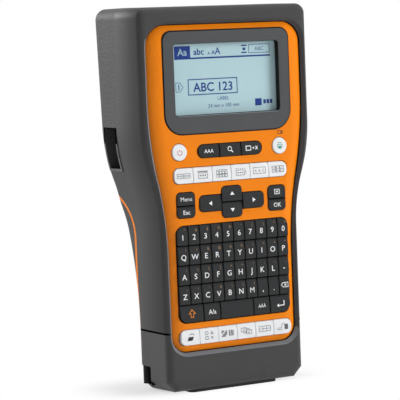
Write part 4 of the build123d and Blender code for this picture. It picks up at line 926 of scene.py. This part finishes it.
def band(low, high, corners, insets, depths):
    """Closed ring: a rectangle's section, from an outer to an inner outline and from rear to front."""
    outer, inner = [outline_ring(low, high, corners, inset, BAND_STEPS) for inset in insets]
    rear, front = depths
    rings = [(outer, rear), (outer, front), (inner, front), (inner, rear)]
    points = np.concatenate([np.insert(ring, 1, KEY_PLANE + depth, axis=1) for ring, depth in rings])
    count = len(outer)
    here = np.arange(count)
    after = np.roll(here, -1)
    step = np.arange(4)[:, None] * count
    onward = np.roll(step, -1, axis=0)
    faces = np.stack([step + here, step + after, onward + after, onward + here], axis=-1)
    return points, faces.reshape(-1, 4).tolist()


# Black lining of the screen opening, from behind the bezel's edge to the window: painted shade on the
# opening's walls
window_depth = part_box("screen_window")[0][1] - KEY_PLANE
lining = band(
    np.array([-SCREEN_HALF, SCREEN_LOW]),
    np.array([SCREEN_HALF, SCREEN_HIGH]),
    (SCREEN_CORNER,) * 4,
    (LINING_GAP, LINING),
    (window_depth, LINING_FRONT),
)
piece("screen_lining", *lining, finishes["membrane"], "casing", "membrane")

# Black band that fills the gap round the bezel: painted shade in the gap
bezel_low, bezel_high = box_of("screen_bezel")
gap_shade = band(
    bezel_low[[0, 2]],
    bezel_high[[0, 2]],
    (BEZEL_CORNER_LOW, BEZEL_CORNER_LOW, BEZEL_CORNER_HIGH, BEZEL_CORNER_HIGH),
    (-GAP_SHADE_WIDTH, 0.0),
    (GAP_SHADE_REAR, GAP_SHADE_FRONT),
)
piece("bezel_gasket", *gap_shade, finishes["membrane"], "casing", "membrane")


def node_triangles(node):
    """Corners of every triangle of a node, and each triangle's normal and middle."""
    mesh = frame["nodes"][node].data
    corners = np.empty(3 * len(mesh.vertices))
    mesh.vertices.foreach_get("co", corners)
    indices = np.empty(3 * len(mesh.polygons), dtype=int)
    mesh.polygons.foreach_get("vertices", indices)
    triangles = corners.reshape(-1, 3)[indices.reshape(-1, 3)]
    normals = np.cross(triangles[:, 1] - triangles[:, 0], triangles[:, 2] - triangles[:, 0])
    lengths = np.maximum(np.linalg.norm(normals, axis=1, keepdims=True), LEAST_LENGTH)
    return triangles, normals / lengths, triangles.mean(axis=1)


def lifted(triangles, normals, chosen):
    """Corners of the chosen triangles, a little off their surface."""
    return (triangles[chosen] + LIP_LIFT * normals[chosen][:, None, :]).reshape(-1, 3)


def skin_piece(name, points, finish, slot, corners):
    """Piece of loose faces, each with this many corners, which follow each other."""
    faces = np.arange(len(points)).reshape(-1, corners).tolist()
    piece(name, points, faces, finishes[finish], "casing", slot)


# Rim of the tape exit: the rear case's own triangles that face left there, with a painted highlight, paler
# and smoother
triangles, normals, middles = node_triangles("rear_case")
depth, height = middles[:, 1] - KEY_PLANE, middles[:, 2]
in_depth = (depth > EXIT_DEPTHS[0]) & (depth < EXIT_DEPTHS[1])
in_height = (height > EXIT_HEIGHTS[0]) & (height < EXIT_HEIGHTS[1])
outside = (normals[:, 0] < EXIT_FACING) & (middles[:, 0] < -EXIT_FROM)
rim = lifted(triangles, normals, in_depth & in_height & outside)
rim[:, 0] = np.maximum(rim[:, 0], cad_box[0][0])
skin_piece("exit_rim", rim, "rim", "casing", 3)

# Smooth bevel beside the face plate: the casing's own slope towards it, with a painted highlight where it
# faces up or right
skins = []
for node in ("front_case", "bottom_cap"):
    triangles, normals, middles = node_triangles(node)
    inward = (normals[:, [0, 2]] * (middles[:, [0, 2]] - (0, PLATE_MIDDLE))).sum(axis=1) < 0
    sloping = (normals[:, 1] > LIP_SLOPES[0]) & (normals[:, 1] < LIP_SLOPES[1])
    near = middles[:, 1] < KEY_PLANE + LIP_REAR
    highlight_up = normals[:, 2] > LIP_TURN
    highlight_right = (normals[:, 0] > LIP_TURN) & (normals[:, 2] > LIP_DROP)
    skins.append(lifted(triangles, normals, inward & sloping & near & (highlight_up | highlight_right)))
skin_piece("plate_lip", np.concatenate(skins), "lip", "casing", 3)

# Shadow line between the casing and the bottom cap, on either side of the face plate
cap_corners = node_triangles("bottom_cap")[0].reshape(-1, 3)
level = cap_corners[np.abs(cap_corners[:, 2] - SEAM_Z) < SEAM_TOLERANCE]
hull = level[convex_hull_2d([tuple(corner) for corner in level[:, :2].tolist()])]
edges = np.stack([hull, np.roll(hull, -1, axis=0)], axis=1)
edges = edges[np.abs(edges[:, :, 0].mean(axis=1)) > SEAM_FROM]
line = edges + unit(edges * (1, 1, 0)) * SEAM_LIFT
lower_line, upper_line = [line + (0, 0, SEAM_RISE + way * SEAM_HALF) for way in (-1, 1)]
strips = np.concatenate([lower_line, upper_line[:, ::-1]], axis=1)
skin_piece("seam_line", strips.reshape(-1, 3), "seam", "membrane", 4)


def tube(middle, radius, bottom, top, steps=32):
    """Upright round sleeve: a circle carried straight up, closed at both ends."""
    turns = np.linspace(0, 2 * np.pi, steps, endpoint=False)
    circle = np.stack([middle[0] + radius * np.cos(turns), middle[1] + radius * np.sin(turns)], axis=1)
    points = np.concatenate([np.insert(circle, 2, height, axis=1) for height in (bottom, top)])
    here = np.arange(steps)
    after = np.roll(here, -1)
    walls = np.stack([here, after, after + steps, here + steps], axis=1)
    return points, [*walls.tolist(), here[::-1].tolist(), (here + steps).tolist()]


def slab(low, high):
    """Thin flat panel between two corners, closed on all sides."""
    x, y, z = np.stack([low, high], axis=1)
    points = np.array([(a, b, c) for c in z for b in y for a in x])
    return points, [[0, 2, 3, 1], [4, 5, 7, 6], [0, 1, 5, 4], [2, 6, 7, 3], [0, 4, 6, 2], [1, 3, 7, 5]]


# Painted highlight: a pale strip on the bezel's front, along the lower edge of the screen opening
sill = slab(
    (SCREEN_CORNER - SCREEN_HALF, bezel_low[1] - LIP_LIFT, SCREEN_LOW - SILL),
    (SCREEN_HALF - SCREEN_CORNER, bezel_low[1] + LIP_LIFT, SCREEN_LOW),
)
piece("screen_sill", *sill, finishes["lip"], "casing", "casing")

# Strap notch: black sleeve on its post and black walls behind it, painted shade in the notch
grip_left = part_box("bottom_cap")[0][0]
grip_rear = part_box("bottom_cap")[1][1]
notch_x = grip_left + NOTCH_WIDTH
notch_y = grip_rear - NOTCH_REACH
post_at = (grip_left + POST_INSET, grip_rear - POST_INSET)
sleeve = tube(post_at, SLEEVE_RADIUS, NOTCH_LOW + LIP_LIFT, NOTCH_HIGH - LIP_LIFT)
front_wall = slab(
    (grip_left + NOTCH_SIDE_EDGE, notch_y, NOTCH_LOW),
    (notch_x, notch_y + 2 * LIP_LIFT, NOTCH_HIGH),
)
inner_wall = slab(
    (notch_x - 2 * LIP_LIFT, notch_y, NOTCH_LOW),
    (notch_x, grip_rear - NOTCH_REAR_EDGE, NOTCH_HIGH),
)
notch = gathered([sleeve, front_wall, inner_wall])
piece("strap_post_sleeve", *notch, finishes["membrane"], "casing", "membrane")

# A small sign on the face plate over the print key
plate_sign = [frame_line(-1.6, -1.0, 0.6, 1.0, THIN), panel(1.1, -1.0, 1.9, 1.0)]
print_on(
    "casing",
    "black_ink",
    *[moved(mark, PLATE_SIGN_SHIFT, PLATE_SIGN_RISE) for mark in plate_sign],
    at=middle_of("print_key"),
    depth=box_of("face_plate")[0][1] - KEY_PLANE - INK_LIFT,
)


def sliced(points, faces, heights):
    """Flat marks cut across at heights, so that they can follow a bent surface."""
    mesh = bpy.data.meshes.new("cut")
    mesh.from_pydata(points, [], faces)
    cutter = bmesh.new()
    cutter.from_mesh(mesh)
    for height in heights:
        whole = [*cutter.verts, *cutter.edges, *cutter.faces]
        bmesh.ops.bisect_plane(cutter, geom=whole, plane_co=(0, 0, height), plane_no=(0, 0, 1))
    cutter.to_mesh(mesh)
    cutter.free()
    cut = np.empty(3 * len(mesh.vertices))
    mesh.vertices.foreach_get("co", cut)
    cut_faces = [list(face.vertices) for face in mesh.polygons]
    bpy.data.meshes.remove(mesh)
    return cut.reshape(-1, 3), cut_faces


# Marks as pieces, one for each body, colour and depth. Those on keys follow the fall of the key's top
for (body, colour, depth), drawn in marks.items():
    layers = [np.insert(flat, 1, -index * MARK_STEP, axis=1) for index, (flat, _) in enumerate(drawn)]
    points, faces = gathered(zip(layers, [mark_faces for _, mark_faces in drawn]))
    if body in slot_of:
        low, high = box_of(body)
        points, faces = sliced(points, faces, np.arange(low[2], high[2], SLICE))
        points[:, 1] += CAP_TOP_DEPTH - INK_LIFT + key_fall(points[:, 2], low[2], high[2])
    points[:, 1] += KEY_PLANE + depth
    hundredths = round(depth / MM * 100)
    slot = "white_key" if colour == "white_ink" else "dark_key"
    piece(f"{body}_{colour}_{hundredths}", points, faces, inks[colour], body, slot)


def floor():
    """Paper floor: a little grey under and beside the base, and plain white a short way off.

    The way off is how far a place lies outside the base's rectangle, which is shifted with the shadow.
    """
    mesh = bpy.data.meshes.new("floor")
    square = np.array([(-1, -1, 0), (1, -1, 0), (1, 1, 0), (-1, 1, 0)])
    mesh.from_pydata(square * FLOOR_HALF, [], [(0, 1, 2, 3)])
    finish = Finish("floor_paper", Base_Color=FLOOR_COLOUR, Roughness=0.9)
    half_base = (*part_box("bottom_cap")[1][:2], 0)
    away = finish.vector("ABSOLUTE", finish.vector("SUBTRACT", finish.place(), SHADOW_SHIFT))
    outside = finish.vector("MAXIMUM", finish.vector("SUBTRACT", away, half_base), (0, 0, 0))
    reach = finish.vector("LENGTH", outside, output="Value")
    ramp = {"Value": reach, "From Min": 0.0, "From Max": SHADOW_REACH}
    spread = finish.node("ShaderNodeMapRange", {"interpolation_type": "SMOOTHSTEP"}, ramp)
    share = finish.seen() * (NEAR_WHITE + (1 - NEAR_WHITE) * spread)
    white = finish.node("ShaderNodeEmission", None, {"Color": WHITE, "Strength": 1.0})
    surface = Value(finish, finish.shader.outputs[0])
    mix = finish.node("ShaderNodeMixShader", None, {0: share, 1: surface, 2: white})
    finish.feed(finish.tree.nodes["Material Output"].inputs["Surface"], mix)
    mesh.materials.append(finish.material)
    made = in_scene("floor", mesh)


def sky():
    """World: plain soft light, shown as white to the camera, in reflections and through glass."""
    world = bpy.data.worlds.new("studio")
    bpy.context.scene.world = world
    world.use_nodes = True
    nodes = Nodes(world.node_tree)
    light = nodes.node("ShaderNodeBackground", None, {"Color": WHITE, "Strength": SKY_LIGHT})
    shown = nodes.node("ShaderNodeBackground", None, {"Color": WHITE, "Strength": 1.0})
    mix = nodes.node("ShaderNodeMixShader", None, {0: nodes.seen(), 1: light, 2: shown})
    nodes.feed(nodes.tree.nodes["World Output"].inputs["Surface"], mix)


def standing(place, right, forward):
    """Matrix of a lamp or a camera at a place, which looks forward."""
    turn = np.eye(4)
    turn[:3] = np.stack([right, np.cross(right, forward), -forward, place], axis=1)
    return Matrix(turn.tolist())


def lamp(name, place, size, power, mirrored=True):
    """Soft square lamp that looks at the object's middle, and is seen in reflections or not."""
    light = bpy.data.lights.new(name, "AREA")
    light.size = size
    light.energy = power
    made = in_scene(name, light)
    made.visible_glossy = mirrored
    forward = unit(np.subtract(LAMP_TARGET, place))
    right = unit(np.cross(forward, (0, 0, 1)))
    made.matrix_world = standing(place, right, forward)


def camera():
    """Camera at the photograph's place: turned about the upright, tipped, then rolled about its view."""
    data = bpy.data.cameras.new("camera")
    data.lens = LENS
    data.sensor_width = SENSOR
    data.sensor_fit = "HORIZONTAL"
    yaw, pitch, roll = np.radians((CAMERA_YAW, CAMERA_PITCH, CAMERA_ROLL))
    level = np.array((np.cos(yaw), -np.sin(yaw), 0))
    ahead = np.array((np.sin(yaw), np.cos(yaw), 0))
    forward = np.cos(pitch) * ahead + np.sin(pitch) * np.array((0, 0, 1))
    right = np.cos(roll) * level + np.sin(roll) * np.cross(level, forward)
    made = in_scene("camera", data)
    made.matrix_world = standing(CAMERA_PLACE, right, forward)
    bpy.context.scene.camera = made


floor()
sky()
camera()
lamp("front_lamp", FRONT_LAMP, size=0.9, power=25.0, mirrored=False)
lamp("rear_left_lamp", REAR_LEFT_LAMP, size=0.8, power=23.0)
lamp("top_lamp", TOP_LAMP, size=1.0, power=13.0)

bpy.context.scene.view_settings.view_transform = "Standard"
